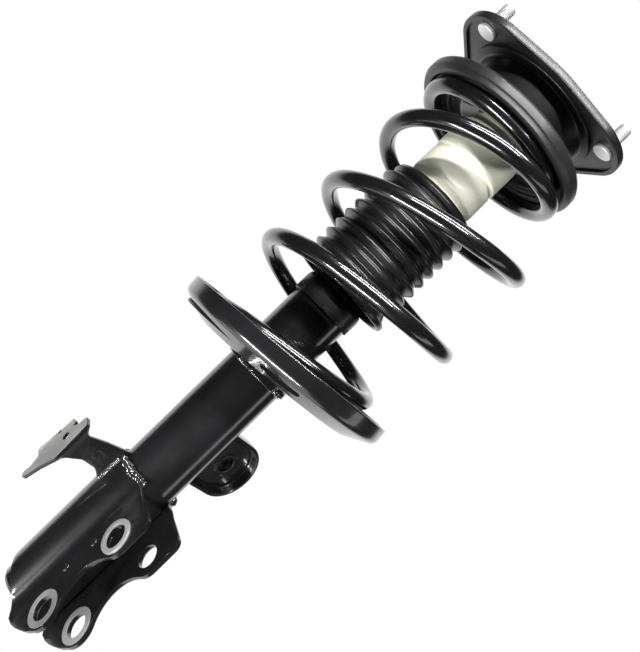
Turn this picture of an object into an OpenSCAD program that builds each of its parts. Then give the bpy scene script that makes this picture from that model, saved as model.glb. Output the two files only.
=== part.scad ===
// Front suspension strut assembly: damper, coil spring, swivelling top mount and knuckle bracket.
// Z runs along the damper axis with its zero on the top face of the mount plate, +Z out of the studs.
// +X points from the damper axis to the knuckle bolts, +Y runs along those bolts.

/* [Top mount] */
// Pitch circle diameter of the three mounting studs
stud_pcd = 138; // [126:1:166]
// Diameter of a mounting stud
stud_d = 10; // [8:1:12]
// Height of a stud above the mount plate
stud_height = 20; // [14:1:30]
// Diameter of a pressed stud head
stud_head_d = 15; // [13:0.5:18]
// How far the mount plate reaches beyond the centre of each stud
lobe_reach = 14.5; // [13:0.5:20]
// Thickness of the mount plate
plate_t = 4; // [3:0.5:5]
// Full height of the plate's turned edge
plate_edge_h = 6; // [5.5:0.5:8]
// Diameter of the window in the middle of the plate
window_d = 78; // [70:1:84]
// Outer diameter of the rubber cup at its mouth
cup_d = 101; // [98:1:104]
// Depth of the rubber cup under the plate's top face
cup_depth = 28.5; // [28:0.5:31]

/* [Swivel bearing] */
// Diameter of a bearing ball
ball_d = 8; // [6.6:0.2:8.4]
// Number of bearing balls
ball_count = 9; // [7:1:9]
// Radius of the circle that the balls run on
ball_circle_r = 15.5; // [15.4:0.1:16.5]

/* [Upper spring seat] */
// Thickness of the upper seat's rubber rim
rim_wall = 8.5; // [5:0.5:10]
// Height of the rubber rim
upper_rim_h = 12; // [9:1:14]

/* [Coil spring] */
// Wire diameter
wire_d = 12.8; // [10.6:0.1:15.4]
// Number of turns from end to end
turns = 5; // [4.5:0.1:5.6]
// Radius of the wire's centre line at the lower end
coil_r_low = 66.5; // [62:0.5:72]
// Radius of the wire's centre line at the upper end
coil_r_top = 58.5; // [56:0.5:62]
// How far the middle turns swell beyond the two ends
coil_swell = 14.5; // [8:0.5:16]
// How far the middle turns bow away from the damper axis
coil_bow = 14.5; // [0:0.5:16]
// How far the upper coils lean to the bow side
coil_lean = 12; // [0:1:14]

/* [Damper] */
// Outer diameter of the reserve tube
tube_d = 49; // [40.5:0.5:59]
// Wall of the reserve tube
tube_wall = 2; // [1.6:0.1:2.4]
// Depth of the tube's top edge below the mount plate
tube_top = 220; // [214:1:226]
// Length of the reserve tube
tube_length = 305; // [300:1:380]
// Diameter of the piston rod
rod_d = 20; // [16:0.5:24]
// Bore of the pressure tube
bore_d = 30; // [28:0.5:34]
// Wall of the pressure tube
pressure_wall = 1.5; // [1.2:0.1:2]

/* [Bump stop and boot] */
// Diameter of the bump stop
bump_d = 58.6; // [52:0.2:71]
// Length of the bump stop's thick part
bump_length = 78; // [65:1:86]
// How far the boot's convolution tips stand out from the bump stop
boot_reach = 12.7; // [12:0.1:15]
// Number of boot convolutions
boot_folds = 8; // [6:1:9]
// Length of the boot
boot_length = 100; // [84:1:110]

/* [Lower spring seat] */
// Room between the spring's lower turn and the lower seat's rim
lower_seat_room = 4.6; // [3.5:0.1:12]
// Distance of the lower seat's centre from the damper axis
lower_seat_shift = 10; // [6:0.5:11]
// Lean of the lower seat and its insulator, in degrees
seat_lean = 6; // [0:0.5:8]
// Depth of the seat rim's top edge below the mount plate
lower_rim_top = 266; // [250:1:320]

/* [Knuckle bracket] */
// Diameter of a knuckle bolt hole
knuckle_hole_d = 17; // [12:0.5:20.5]
// Distance between the two knuckle bolts
knuckle_pitch = 67.5; // [56:0.5:81]
// Distance of the knuckle bolts from the damper axis
knuckle_reach = 50; // [46:0.5:60]
// Gap between the two ears
ear_gap = 25.6; // [20:0.2:32]
// Thickness of the bracket plate
ear_t = 4; // [3:0.5:5]

/* [Brackets on the tube] */
// Diameter of the stabilizer link hole
link_hole_d = 12.4; // [10:0.2:14]
// Depth of the stabilizer link hole below the mount plate
link_depth = 365; // [345:1:375]
// Diameter of the hose clip hole
clip_hole_d = 6.6; // [5:0.2:8]

/* [Hidden] */
$fn = 96;

eps = 0.01;
fit = 0.05;      // radial clearance of a running fit
gap = 0.3;       // clearance between pieces that only lie near each other

// Top mount
stud_first = 27;
stud_angles = [for (i = [0:2]) stud_first + 120 * i];
lobe_swell = 9;
corner_r = 38;
stud_tip_h = 1.5;
stud_shoulder = 1;
stud_head_h = 2.5;
edge_wall = 4;
cup_wall = 2.5;
cup_taper = 4.5;
cup_flange_r = cup_d / 2 + 7;
cup_hole_r = 36;
cup_top_z = -plate_t;
cup_bottom_z = -cup_depth;

// Swivel bearing
spigot_r = 7;
ball_r = ball_d / 2;
race_half_h = 7;
cage_half_h = 5;
bearing_z = -14;
groove_r = ball_r + 0.06;
inner_race_r = ball_circle_r - ball_r + 0.5;
outer_race_r = ball_circle_r + ball_r - 0.5;
housing_r = outer_race_r + 4.5;
housing_wall = 3;
cage_wall_r = 2.3;
seal_t = 0.8;

// Stack under the bearing
race_bottom_z = bearing_z - race_half_h;
race_top_z = bearing_z + race_half_h;
hub_z = cup_bottom_z - 0.5;
seat_t = 2.5;
hub_r = 28;
seat_drop = 7;
washer_t = 3;
nut_h = 11;
nut_flats = 22;
rod_tip_z = race_top_z + washer_t + nut_h + 4;

// Upper seat
seat_flat_z = hub_z - seat_drop;
rim_gap = 0.6;
rim_r = coil_r_top + wire_d / 2 + rim_gap + rim_wall;
seat_edge_r = rim_r - rim_wall - 0.5;
pad_t = 3.5;
pad_low_z = seat_flat_z - seat_t - pad_t;
rim_top_z = seat_flat_z + 2;
rim_low_z = rim_top_z - upper_rim_h;

// Bump stop and boot
bump_top_z = pad_low_z - 5;
bump_low_z = bump_top_z - bump_length;
bump_neck_r = 25;
bump_groove_depth = 2;
boot_overlap = 17;
boot_top_z = bump_low_z + boot_overlap;
boot_low_z = boot_top_z - boot_length;
boot_r = bump_d / 2 + boot_reach;
boot_fold_depth = 6;
boot_wall = 1.6;
boot_collar_h = 7;
boot_skirt_h = 12;

// Damper
tube_r = tube_d / 2;
tube_in_r = tube_r - tube_wall;
tube_top_z = -tube_top;
tube_low_z = tube_top_z - tube_length;
rod_r = rod_d / 2;
bore_r = bore_d / 2;
pressure_r = bore_r + pressure_wall;
seal_h = 5;
guide_h = 16;
guide_top_z = tube_top_z - seal_h - 2;
guide_low_z = guide_top_z - guide_h;
stop_h = 10;
stop_top_z = guide_low_z - gap;
piston_top_z = -276;
piston_h = 18;
piston_disc_t = 1.2;
piston_pin_r = 6;
piston_low_z = piston_top_z - piston_disc_t - piston_h - piston_disc_t;
pin_low_z = piston_low_z - 10;
pressure_low_z = tube_low_z + 20;
cap_top_z = tube_top_z + 10;
cap_low_z = tube_top_z - 8;
cap_r = tube_r + 1.7;
base_t = 3;

// Lower seat
lower_t = 3;
lower_r = coil_r_low + wire_d / 2 + lower_seat_shift + lower_seat_room + lower_t;
rim_top = -lower_rim_top;
rim_low = rim_top - 13;
floor_z = rim_top - 19.5;
floor_r = 68;
bow_angle = 57;
collar_r = tube_r + 3;
collar_low_z = floor_z - lower_t - 7;

// Spring: the wire's height, radius and bow against the turn count from the lower end
wire_r = wire_d / 2;
spring_start = 39;
spring_low_z = floor_z + 2.8 + gap + wire_r;
spring_top_z = pad_low_z - gap - wire_r;
end_pitch = 2;
low_ramp = [0.45, 0.95];
top_ramp = [turns - 1.3, turns - 0.6];
low_lean_start = 0.6;
low_lean_end = 1.1;
lean_middle = turns - 1.8;
lean_span = 1.2;
ring_steps = 30;
wire_sides = 12;
function ramp_rise(x, a, b) = x <= a ? 0 : x < b ? (x - a) * (x - a) / (2 * (b - a)) : x - (a + b) / 2;
function active_turns(x) = ramp_rise(x, low_ramp[0], low_ramp[1]) - ramp_rise(x, top_ramp[0], top_ramp[1]);
active_pitch = (spring_top_z - spring_low_z - end_pitch * turns) / active_turns(turns);
function wire_z(x) = spring_low_z + end_pitch * x + active_pitch * active_turns(x);
function wire_radius(x) =
    coil_r_low + (coil_r_top - coil_r_low) * x / turns + coil_swell * pow(sin(180 * x / turns), 3);
function wire_bow(x) = coil_bow * pow(sin(180 * x / turns), 3);
function seated_share(x) = min(1, max(0, (low_lean_end - x) / (low_lean_end - low_lean_start)));
function upper_share(x) =
    abs(x - lean_middle) < lean_span ? (1 + cos(180 * (x - lean_middle) / lean_span)) / 2 : 0;
function wire_lean(x) = wire_radius(x) * tan(seat_lean) * seated_share(x) + coil_lean * upper_share(x);
function wire_point(x) =
    let (a = spring_start + 360 * x, r = wire_radius(x), b = wire_bow(x))
    [
        r * cos(a) + b * cos(bow_angle),
        r * sin(a) + b * sin(bow_angle),
        wire_z(x) + wire_lean(x) * cos(a - bow_angle)
    ];

// Knuckle bracket
wrap_r = tube_r + ear_t - 0.5;
wrap_top_z = tube_low_z + 119;
bolt_top_z = wrap_top_z - 28.5;
bolt_low_z = bolt_top_z - knuckle_pitch;
wrap_low_z = bolt_low_z - 30;
ear_lobe_r = 15;
neck_r = 30;
neck_x = knuckle_reach + sqrt(pow(ear_lobe_r + neck_r, 2) - pow(knuckle_pitch / 2, 2));
neck_z = (bolt_top_z + bolt_low_z) / 2;
pad_r = knuckle_hole_d / 2 + 4.5;
pad_h = 1.5;

// Brackets
link_angle = 105;
link_reach = 51;
tab_half_h = 26;
tab_t = 4;
tab_flange = 8;
tab_flange_t = 3;
blade_y = -tube_r - 34.5;
blade_t = 2.5;
clip_x = -20;
clip_rise = -16;
arm_x = -4.5;

module ring(r_out, r_in, z_low, z_high)
    translate([0, 0, z_low])
        difference() {
            cylinder(h = z_high - z_low, r = r_out);
            translate([0, 0, -1])
                cylinder(h = z_high - z_low + 2, r = r_in);
        }

module plate_outline(inset = 0)
    hull() {
        for (a = stud_angles)
            rotate([0, 0, a])
                translate([stud_pcd / 2 + lobe_reach - corner_r, 0])
                    circle(r = corner_r - inset);
        circle(r = cup_flange_r + lobe_swell - inset, $fn = 96);
    }

// Pressed three-lobed plate that bolts up under the strut tower
module mount_plate()
    color([0.03, 0.03, 0.03])
    difference() {
        translate([0, 0, -plate_edge_h])
            linear_extrude(plate_edge_h)
                plate_outline();
        translate([0, 0, -plate_edge_h - 1])
            linear_extrude(plate_edge_h - plate_t + 1)
                plate_outline(edge_wall);
        translate([0, 0, -plate_edge_h - 1])
            cylinder(h = plate_edge_h + 2, d = window_d);
        for (a = stud_angles)
            rotate([0, 0, a])
                translate([stud_pcd / 2, 0, -plate_edge_h - 1])
                    cylinder(h = plate_edge_h + 2, d = stud_d + stud_shoulder);
    }

// Pressed cup under the plate that holds the rubber
module mount_cup()
    color([0.03, 0.03, 0.03])
    rotate_extrude()
        polygon([
            [cup_d / 2 - cup_wall, cup_top_z],
            [cup_flange_r, cup_top_z],
            [cup_flange_r, cup_top_z - cup_wall],
            [cup_d / 2, cup_top_z - cup_wall],
            [cup_d / 2 - cup_taper, cup_bottom_z],
            [cup_hole_r, cup_bottom_z],
            [cup_hole_r, cup_bottom_z + cup_wall],
            [cup_d / 2 - cup_taper - cup_wall, cup_bottom_z + cup_wall]
        ]);

// Press-in stud: head under the plate, knurled shoulder in it, threaded shank above it
module stud()
    union() {
        cylinder(h = stud_height - stud_tip_h, d = stud_d);
        translate([0, 0, stud_height - stud_tip_h])
            cylinder(h = stud_tip_h, d1 = stud_d, d2 = stud_d - 2.4);
        translate([0, 0, -plate_t])
            cylinder(h = plate_t, d = stud_d + stud_shoulder);
        translate([0, 0, -plate_t - stud_head_h])
            cylinder(h = stud_head_h, d = stud_head_d);
    }

module mount_studs()
    color([0.75, 0.75, 0.74])
    for (a = stud_angles)
        rotate([0, 0, a])
            translate([stud_pcd / 2, 0, 0])
                stud();

module mount_rubber()
    color([0.06, 0.06, 0.06])
    rotate_extrude()
        polygon([
            [housing_r, bearing_z - 8],
            [housing_r, bearing_z + 7],
            [housing_r + 5, bearing_z + 7],
            [housing_r + 9, bearing_z + 3],
            [cup_d / 2 - cup_wall - 7, bearing_z + 3],
            [cup_d / 2 - cup_wall - 4, bearing_z + 6],
            [cup_d / 2 - cup_wall - 2, bearing_z + 6],
            [cup_d / 2 - cup_taper - cup_wall, cup_bottom_z + cup_wall],
            [cup_hole_r + 1, cup_bottom_z + cup_wall]
        ]);

module bearing_housing()
    color([0.3, 0.3, 0.31])
    rotate_extrude()
        polygon([
            [outer_race_r + 4.5 - housing_wall, race_bottom_z],
            [outer_race_r + 4.5 - housing_wall, race_top_z + 1],
            [housing_r, race_top_z + 1],
            [housing_r, race_bottom_z - 2],
            [outer_race_r + 0.5, race_bottom_z - 2],
            [outer_race_r + 0.5, race_bottom_z]
        ]);

module bearing_outer_race()
    color([0.6, 0.6, 0.6])
    difference() {
        ring(outer_race_r + 4.5 - housing_wall, outer_race_r, race_bottom_z, race_top_z);
        translate([0, 0, bearing_z])
            rotate_extrude()
                translate([ball_circle_r, 0])
                    circle(r = groove_r, $fn = 48);
    }

module bearing_inner_race()
    color([0.6, 0.6, 0.6])
    difference() {
        ring(inner_race_r, spigot_r, race_bottom_z, race_top_z);
        translate([0, 0, bearing_z])
            rotate_extrude()
                translate([ball_circle_r, 0])
                    circle(r = groove_r, $fn = 48);
    }

module bearing_seals()
    color([0.05, 0.05, 0.05])
    for (side = [-1, 1])
        translate([0, 0, bearing_z + side * (cage_half_h + 0.4 + seal_t / 2)])
            ring(outer_race_r, inner_race_r + 0.35, -seal_t / 2, seal_t / 2);

module bearing_balls()
    color([0.8, 0.8, 0.8])
    for (i = [0:ball_count - 1])
        rotate([0, 0, 360 * i / ball_count])
            translate([ball_circle_r, 0, bearing_z])
                sphere(r = ball_r, $fn = 32);

module bearing_cage()
    color([0.7, 0.65, 0.5])
    difference() {
        ring(ball_circle_r + cage_wall_r, ball_circle_r - cage_wall_r, bearing_z - cage_half_h,
             bearing_z + cage_half_h);
        for (i = [0:ball_count - 1])
            rotate([0, 0, 360 * i / ball_count])
                translate([ball_circle_r, 0, bearing_z])
                    sphere(r = ball_r + 0.2, $fn = 32);
    }

module rod_washer()
    color([0.7, 0.7, 0.7])
    ring(14, spigot_r, race_top_z, race_top_z + washer_t);

module rod_nut()
    color([0.7, 0.7, 0.7])
    translate([0, 0, race_top_z + washer_t])
        difference() {
            cylinder(h = nut_h, d = nut_flats / cos(30), $fn = 6);
            translate([0, 0, -1])
                cylinder(h = nut_h + 2, r = spigot_r);
        }

module seat_spacer()
    color([0.5, 0.5, 0.5])
    ring(inner_race_r - 0.1, spigot_r, hub_z, race_bottom_z);

// Dished plate that carries the top of the spring
module upper_spring_seat()
    color([0.04, 0.04, 0.04])
    rotate_extrude()
        polygon([
            [spigot_r, hub_z],
            [hub_r, hub_z],
            [hub_r + 12, seat_flat_z],
            [seat_edge_r, seat_flat_z],
            [seat_edge_r, seat_flat_z - seat_t],
            [hub_r + 11, seat_flat_z - seat_t],
            [hub_r - 1, hub_z - seat_t],
            [spigot_r, hub_z - seat_t]
        ]);

// Rubber rim and pad that wrap the edge of the upper seat
module upper_insulator()
    color([0.06, 0.06, 0.06])
    rotate_extrude()
        polygon([
            [seat_edge_r - 5, seat_flat_z],
            [seat_edge_r - 4, rim_top_z],
            [rim_r - 3, rim_top_z],
            [rim_r, rim_top_z - 3],
            [rim_r, rim_low_z + 3],
            [rim_r - 2, rim_low_z],
            [rim_r - rim_wall + 1, rim_low_z],
            [rim_r - rim_wall, pad_low_z],
            [coil_r_top - wire_r - 4, pad_low_z],
            [coil_r_top - wire_r - 4, seat_flat_z - seat_t],
            [seat_edge_r, seat_flat_z - seat_t],
            [seat_edge_r, seat_flat_z]
        ]);

module bump_stop()
    color([0.86, 0.87, 0.78])
    rotate_extrude()
        polygon([
            [rod_r + 0.5, hub_z - seat_t - 1],
            [bump_neck_r - 5, hub_z - seat_t - 1],
            [bump_neck_r, seat_flat_z - seat_t],
            [bump_neck_r, bump_top_z],
            [bump_d / 2, bump_top_z],
            [bump_d / 2, bump_top_z - bump_length * 0.36],
            [bump_d / 2 - bump_groove_depth, bump_top_z - bump_length * 0.38],
            [bump_d / 2, bump_top_z - bump_length * 0.41],
            [bump_d / 2, bump_low_z + 12],
            [bump_d / 2 - 9, bump_low_z],
            [rod_r + 3, bump_low_z],
            [rod_r + 0.5, bump_low_z + 3]
        ]);

// Corrugated rubber boot that hangs from the bump stop over the tube's top
boot_fold_pitch = (boot_length - boot_collar_h - boot_skirt_h) / boot_folds;
function boot_wave(side) = [for (i = [0:2 * boot_folds])
    [boot_r - (i % 2 == 0 ? boot_fold_depth : 0) - side,
     boot_top_z - boot_collar_h - boot_fold_pitch * i / 2]];
function reversed(list) = [for (i = [len(list) - 1:-1:0]) list[i]];
module dust_boot()
    color([0.04, 0.04, 0.04])
    rotate_extrude()
        polygon(concat(
            [[bump_d / 2, boot_top_z], [boot_r - 4, boot_top_z]],
            [[boot_r - 4, boot_top_z - boot_collar_h + 2]],
            boot_wave(0),
            [[boot_r - 1, boot_low_z + 8], [boot_r, boot_low_z + 4], [boot_r, boot_low_z]],
            [[boot_r - 2 * boot_wall, boot_low_z], [boot_r - 2 * boot_wall - 1, boot_low_z + 7]],
            reversed(boot_wave(2 * boot_wall)),
            [[boot_r - 8, boot_top_z - boot_collar_h + 2], [bump_d / 2, boot_top_z - boot_collar_h + 3]]
        ));

module piston_rod()
    color([0.85, 0.85, 0.86])
    union() {
        translate([0, 0, hub_z - seat_t])
            cylinder(h = rod_tip_z - hub_z + seat_t, r = spigot_r);
        translate([0, 0, piston_top_z])
            cylinder(h = hub_z - seat_t - piston_top_z, r = rod_r);
        translate([0, 0, pin_low_z])
            cylinder(h = piston_top_z - pin_low_z, r = piston_pin_r);
    }

module rebound_stop()
    color([0.4, 0.4, 0.4])
    ring(bore_r - 0.6, rod_r, stop_top_z - stop_h, stop_top_z);

module piston()
    color([0.45, 0.45, 0.45])
    difference() {
        ring(bore_r - 0.4, piston_pin_r, piston_low_z + piston_disc_t, piston_top_z - piston_disc_t);
        ring(bore_r + 1, bore_r - 1.4, piston_low_z + piston_disc_t + 5, piston_top_z - piston_disc_t - 5);
    }

module piston_band()
    color([0.1, 0.25, 0.2])
    ring(bore_r - fit, bore_r - 1.4, piston_low_z + piston_disc_t + 5, piston_top_z - piston_disc_t - 5);

module piston_valve_discs()
    color([0.7, 0.7, 0.72])
    union() {
        ring(bore_r - 3, piston_pin_r, piston_top_z - piston_disc_t, piston_top_z);
        ring(bore_r - 3, piston_pin_r, piston_low_z, piston_low_z + piston_disc_t);
    }

module piston_nut()
    color([0.6, 0.6, 0.6])
    translate([0, 0, piston_low_z - 8])
        difference() {
            cylinder(h = 8, d = 17 / cos(30), $fn = 6);
            translate([0, 0, -1])
                cylinder(h = 10, r = piston_pin_r);
        }

// Right-handed side-load spring: its middle turns swell and bow to one side
ring_count = ceil(turns * ring_steps);
tangent_step = 0.001;
function wire_ring(i) =
    let (x = turns * i / ring_count,
         along = wire_point(x + tangent_step) - wire_point(x - tangent_step),
         side = cross(along, [0, 0, 1]),
         s = side / norm(side),
         up = cross(s, along / norm(along)))
    [for (k = [0:wire_sides - 1])
        let (a = 360 * k / wire_sides)
        wire_point(x) + wire_r * (cos(a) * s + sin(a) * up)];
module coil_spring()
    color([0.03, 0.03, 0.03])
    polyhedron(
        points = [for (i = [0:ring_count]) each wire_ring(i)],
        faces = concat(
            [for (i = [0:ring_count - 1], k = [0:wire_sides - 1])
                let (n = (k + 1) % wire_sides, a = i * wire_sides, b = a + wire_sides)
                [a + k, b + k, b + n, a + n]],
            [[for (k = [0:wire_sides - 1]) k]],
            [[for (k = [wire_sides - 1:-1:0]) ring_count * wire_sides + k]]),
        convexity = 10);

module strut_tube()
    color([0.03, 0.03, 0.03])
    ring(tube_r, tube_in_r, tube_low_z, tube_top_z);

module base_cap()
    color([0.03, 0.03, 0.03])
    translate([0, 0, tube_low_z])
        cylinder(h = base_t, r = tube_in_r);

module pressure_tube()
    color([0.5, 0.5, 0.5])
    ring(pressure_r, bore_r, pressure_low_z, guide_low_z);

module base_valve()
    color([0.45, 0.45, 0.45])
    difference() {
        translate([0, 0, tube_low_z + base_t])
            cylinder(h = pressure_low_z - tube_low_z - base_t, r = pressure_r);
        translate([0, 0, tube_low_z + base_t - 1])
            cylinder(h = 9, r = bore_r - 3);
        for (a = [0:60:300])
            rotate([0, 0, a])
                translate([bore_r - 5, 0, tube_low_z + base_t + 4])
                    cylinder(h = 30, r = 1.6, $fn = 24);
    }

module base_valve_discs()
    color([0.7, 0.7, 0.72])
    translate([0, 0, pressure_low_z])
        cylinder(h = 1.2, r = bore_r - 2);

module rod_guide()
    color([0.4, 0.4, 0.4])
    difference() {
        union() {
            ring(tube_in_r, rod_r + 1.5, guide_low_z + 6, guide_top_z);
            ring(bore_r, rod_r + 1.5, guide_low_z, guide_low_z + 6);
        }
    }

module guide_bush()
    color([0.6, 0.45, 0.25])
    ring(rod_r + 1.5, rod_r + fit, guide_low_z + 1, guide_top_z - 1);

module oil_seal()
    color([0.08, 0.08, 0.08])
    ring(tube_in_r, rod_r + fit, guide_top_z, guide_top_z + seal_h);

// Pressed cap over the top of the tube that the bump stop lands on
module bump_cap()
    color([0.05, 0.05, 0.05])
    union() {
        difference() {
            ring(cap_r, rod_r + 0.8, cap_low_z, cap_top_z);
            translate([0, 0, cap_low_z - 1])
                cylinder(h = tube_top_z - cap_low_z + 1, r = tube_r);
            translate([0, 0, cap_low_z])
                cylinder(h = cap_top_z - cap_low_z - 2.2, r = tube_in_r - 1);
        }
        for (a = [30:60:330])
            rotate([0, 0, a])
                translate([cap_r - 0.5, -3, cap_low_z])
                    cube([2, 6, 5]);
    }

// Turns what it holds by the seat's lean, about the point where the seat's floor meets the axis
module leaned()
    translate([0, 0, floor_z])
        rotate(a = seat_lean, v = [sin(bow_angle), -cos(bow_angle), 0])
            translate([0, 0, -floor_z])
                children();

module seat_floor_body()
    translate([lower_seat_shift * cos(bow_angle), lower_seat_shift * sin(bow_angle), 0])
        rotate_extrude()
            polygon([
                [0, floor_z - 40],
                [lower_r + 20, floor_z - 40],
                [lower_r + 20, rim_low + 1.5],
                [lower_r - lower_t, rim_low + 1.5],
                [floor_r, floor_z],
                [0, floor_z]
            ]);

// Offset pressed pan that carries the bottom of the spring, with its collar on the tube
module lower_spring_seat()
    color([0.03, 0.03, 0.03])
    difference() {
        union() {
            leaned()
                translate([lower_seat_shift * cos(bow_angle), lower_seat_shift * sin(bow_angle), 0])
                    rotate_extrude()
                        polygon([
                            [0, floor_z],
                            [floor_r, floor_z],
                            [lower_r - lower_t, rim_low + 1.5],
                            [lower_r - lower_t, rim_top],
                            [lower_r, rim_top],
                            [lower_r, rim_low],
                            [floor_r + 1, floor_z - lower_t],
                            [0, floor_z - lower_t]
                        ]);
            intersection() {
                translate([0, 0, collar_low_z])
                    cylinder(h = 2 * (floor_z - collar_low_z), r = collar_r);
                leaned()
                    translate([0, 0, floor_z - 40])
                        cylinder(h = 39, r = floor_r);
            }
        }
        translate([0, 0, collar_low_z - 10])
            cylinder(h = 60, r = tube_r);
        for (a = [305, 25])
            rotate([0, 0, a])
                translate([tube_r - 2, -9, collar_low_z - 1])
                    cube([12, 18, 5]);
    }

module lower_insulator()
    color([0.05, 0.05, 0.05])
    leaned()
        difference() {
            ring(coil_r_low + wire_r + 1.5, coil_r_low - wire_r - 3, floor_z, spring_low_z - wire_r - gap);
            seat_floor_body();
        }

module ear_outline()
    difference() {
        union() {
            polygon([
                [0, wrap_top_z],
                [wrap_r, wrap_top_z],
                [knuckle_reach, bolt_top_z + ear_lobe_r + 11],
                [knuckle_reach + ear_lobe_r * 0.66, bolt_top_z],
                [knuckle_reach + ear_lobe_r * 0.66, bolt_low_z],
                [knuckle_reach, bolt_low_z - ear_lobe_r],
                [wrap_r, wrap_low_z],
                [0, wrap_low_z]
            ]);
            for (z = [bolt_top_z + 11, bolt_top_z, bolt_low_z])
                translate([knuckle_reach, z])
                    circle(r = ear_lobe_r);
            translate([knuckle_reach, bolt_top_z])
                square([ear_lobe_r, 11]);
        }
        translate([neck_x, neck_z])
            circle(r = neck_r);
    }

module ear_blank()
    rotate([90, 0, 0])
        linear_extrude(ear_t, center = true)
            ear_outline();

// Wrapped bracket with two ears that clamp the steering knuckle
module knuckle_bracket()
    color([0.03, 0.03, 0.03])
    difference() {
        union() {
            difference() {
                ring(wrap_r, tube_r, wrap_low_z, wrap_top_z);
                translate([0, -ear_gap / 2, wrap_low_z - 1])
                    cube([wrap_r + 1, ear_gap, wrap_top_z - wrap_low_z + 2]);
            }
            for (side = [-1, 1])
                translate([0, side * (ear_gap + ear_t) / 2, 0])
                    ear_blank();
            for (side = [-1, 1])
                translate([knuckle_reach, side * ((ear_gap + ear_t) / 2 + pad_h), bolt_top_z])
                    rotate([90, 0, 0])
                        cylinder(h = ear_t, r = pad_r, center = true);
        }
        for (z = [bolt_top_z, bolt_low_z])
            translate([knuckle_reach, 0, z])
                rotate([90, 0, 0])
                    cylinder(h = 4 * ear_gap, d = knuckle_hole_d, center = true);
        translate([0, 0, wrap_low_z - 1])
            cylinder(h = wrap_top_z - wrap_low_z + 2, r = tube_r);
    }

// Curved plate that closes the wrap between the two ears
module bracket_brace()
    color([0.05, 0.05, 0.05])
    intersection() {
        ring(wrap_r, tube_r, wrap_low_z + 6, wrap_top_z - 6);
        translate([0, -ear_gap / 2, wrap_low_z])
            cube([wrap_r + 1, ear_gap, wrap_top_z - wrap_low_z]);
    }

module tab_outline(inset = 0)
    union() {
        translate([tube_r - 4, link_z() - tab_half_h + inset])
            square([link_reach - tube_r + 4, 2 * (tab_half_h - inset)]);
        translate([link_reach, link_z()])
            circle(r = tab_half_h - inset);
    }
function link_z() = -link_depth;

// Dished tab for the stabilizer link
module stabilizer_tab()
    color([0.03, 0.03, 0.03])
    difference() {
        rotate([0, 0, link_angle])
            difference() {
                union() {
                    rotate([90, 0, 0])
                        linear_extrude(tab_t, center = true)
                            tab_outline();
                    translate([0, -tab_t / 2, 0])
                        rotate([90, 0, 0])
                            linear_extrude(tab_flange)
                                difference() {
                                    tab_outline();
                                    tab_outline(tab_flange_t);
                                }
                }
                translate([link_reach, 0, link_z()])
                    rotate([90, 0, 0])
                        cylinder(h = 4 * tab_t, d = link_hole_d, center = true);
            }
        translate([0, 0, link_z() - 2 * tab_half_h])
            cylinder(h = 4 * tab_half_h, r = tube_r);
    }

// Angled bracket for the brake hose and sensor cable clips; heights count from the wrap's top edge
module hose_bracket()
    color([0.03, 0.03, 0.03])
    difference() {
        translate([0, 0, wrap_top_z])
            union() {
                translate([0, blade_y, 0])
                    rotate([90, 0, 0])
                        linear_extrude(blade_t)
                            polygon([
                                [-2, -1], [-10, 3], [-19, 5], [-20, -4], [-25, -9], [-26, -5],
                                [-32, -6], [-32, -12], [-36, -41], [-28, -42], [-25, -51],
                                [-26, -58], [-21, -59], [-15, -44], [-7, -30], [-2, -22]
                            ]);
                translate([arm_x, 0, 0])
                    rotate([90, 0, 90])
                        linear_extrude(blade_t)
                            polygon([
                                [-10, 7], [-tube_r - 6, 6], [blade_y + 14, 3], [blade_y, -1],
                                [blade_y, -22], [blade_y + 9, -17], [blade_y + 21, -17],
                                [-tube_r - 6, -22], [-10, -24]
                            ]);
            }
        translate([clip_x, blade_y, wrap_top_z + clip_rise])
            rotate([90, 0, 0])
                cylinder(h = 8 * blade_t, d = clip_hole_d, center = true);
        translate([0, 0, wrap_low_z])
            cylinder(h = wrap_top_z - wrap_low_z, r = wrap_r);
        translate([0, 0, wrap_top_z - 1])
            cylinder(h = 20, r = tube_r);
    }

mount_plate();
mount_cup();
mount_studs();
mount_rubber();
bearing_housing();
bearing_outer_race();
bearing_seals();
bearing_cage();
bearing_balls();
bearing_inner_race();
rod_nut();
rod_washer();
seat_spacer();
upper_spring_seat();
upper_insulator();
bump_stop();
dust_boot();
piston_rod();
rebound_stop();
piston();
piston_band();
piston_valve_discs();
piston_nut();
coil_spring();
strut_tube();
base_cap();
pressure_tube();
base_valve();
base_valve_discs();
rod_guide();
guide_bush();
oil_seal();
bump_cap();
lower_spring_seat();
lower_insulator();
knuckle_bracket();
bracket_brace();
stabilizer_tab();
hose_bracket();
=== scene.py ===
"""Looks for a suspension strut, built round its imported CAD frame.

Lengths are in millimetres in the builders and become metres in the meshes. The row frame has +Z along the
damper axis towards the studs, +X towards the knuckle bolts and +Y along them.
"""
import logging
import math
from dataclasses import dataclass
from enum import Enum
from typing import Callable, Iterable, Optional, Sequence, Union

import bmesh
import bpy
import numpy as np
from mathutils import Matrix, Vector


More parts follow.
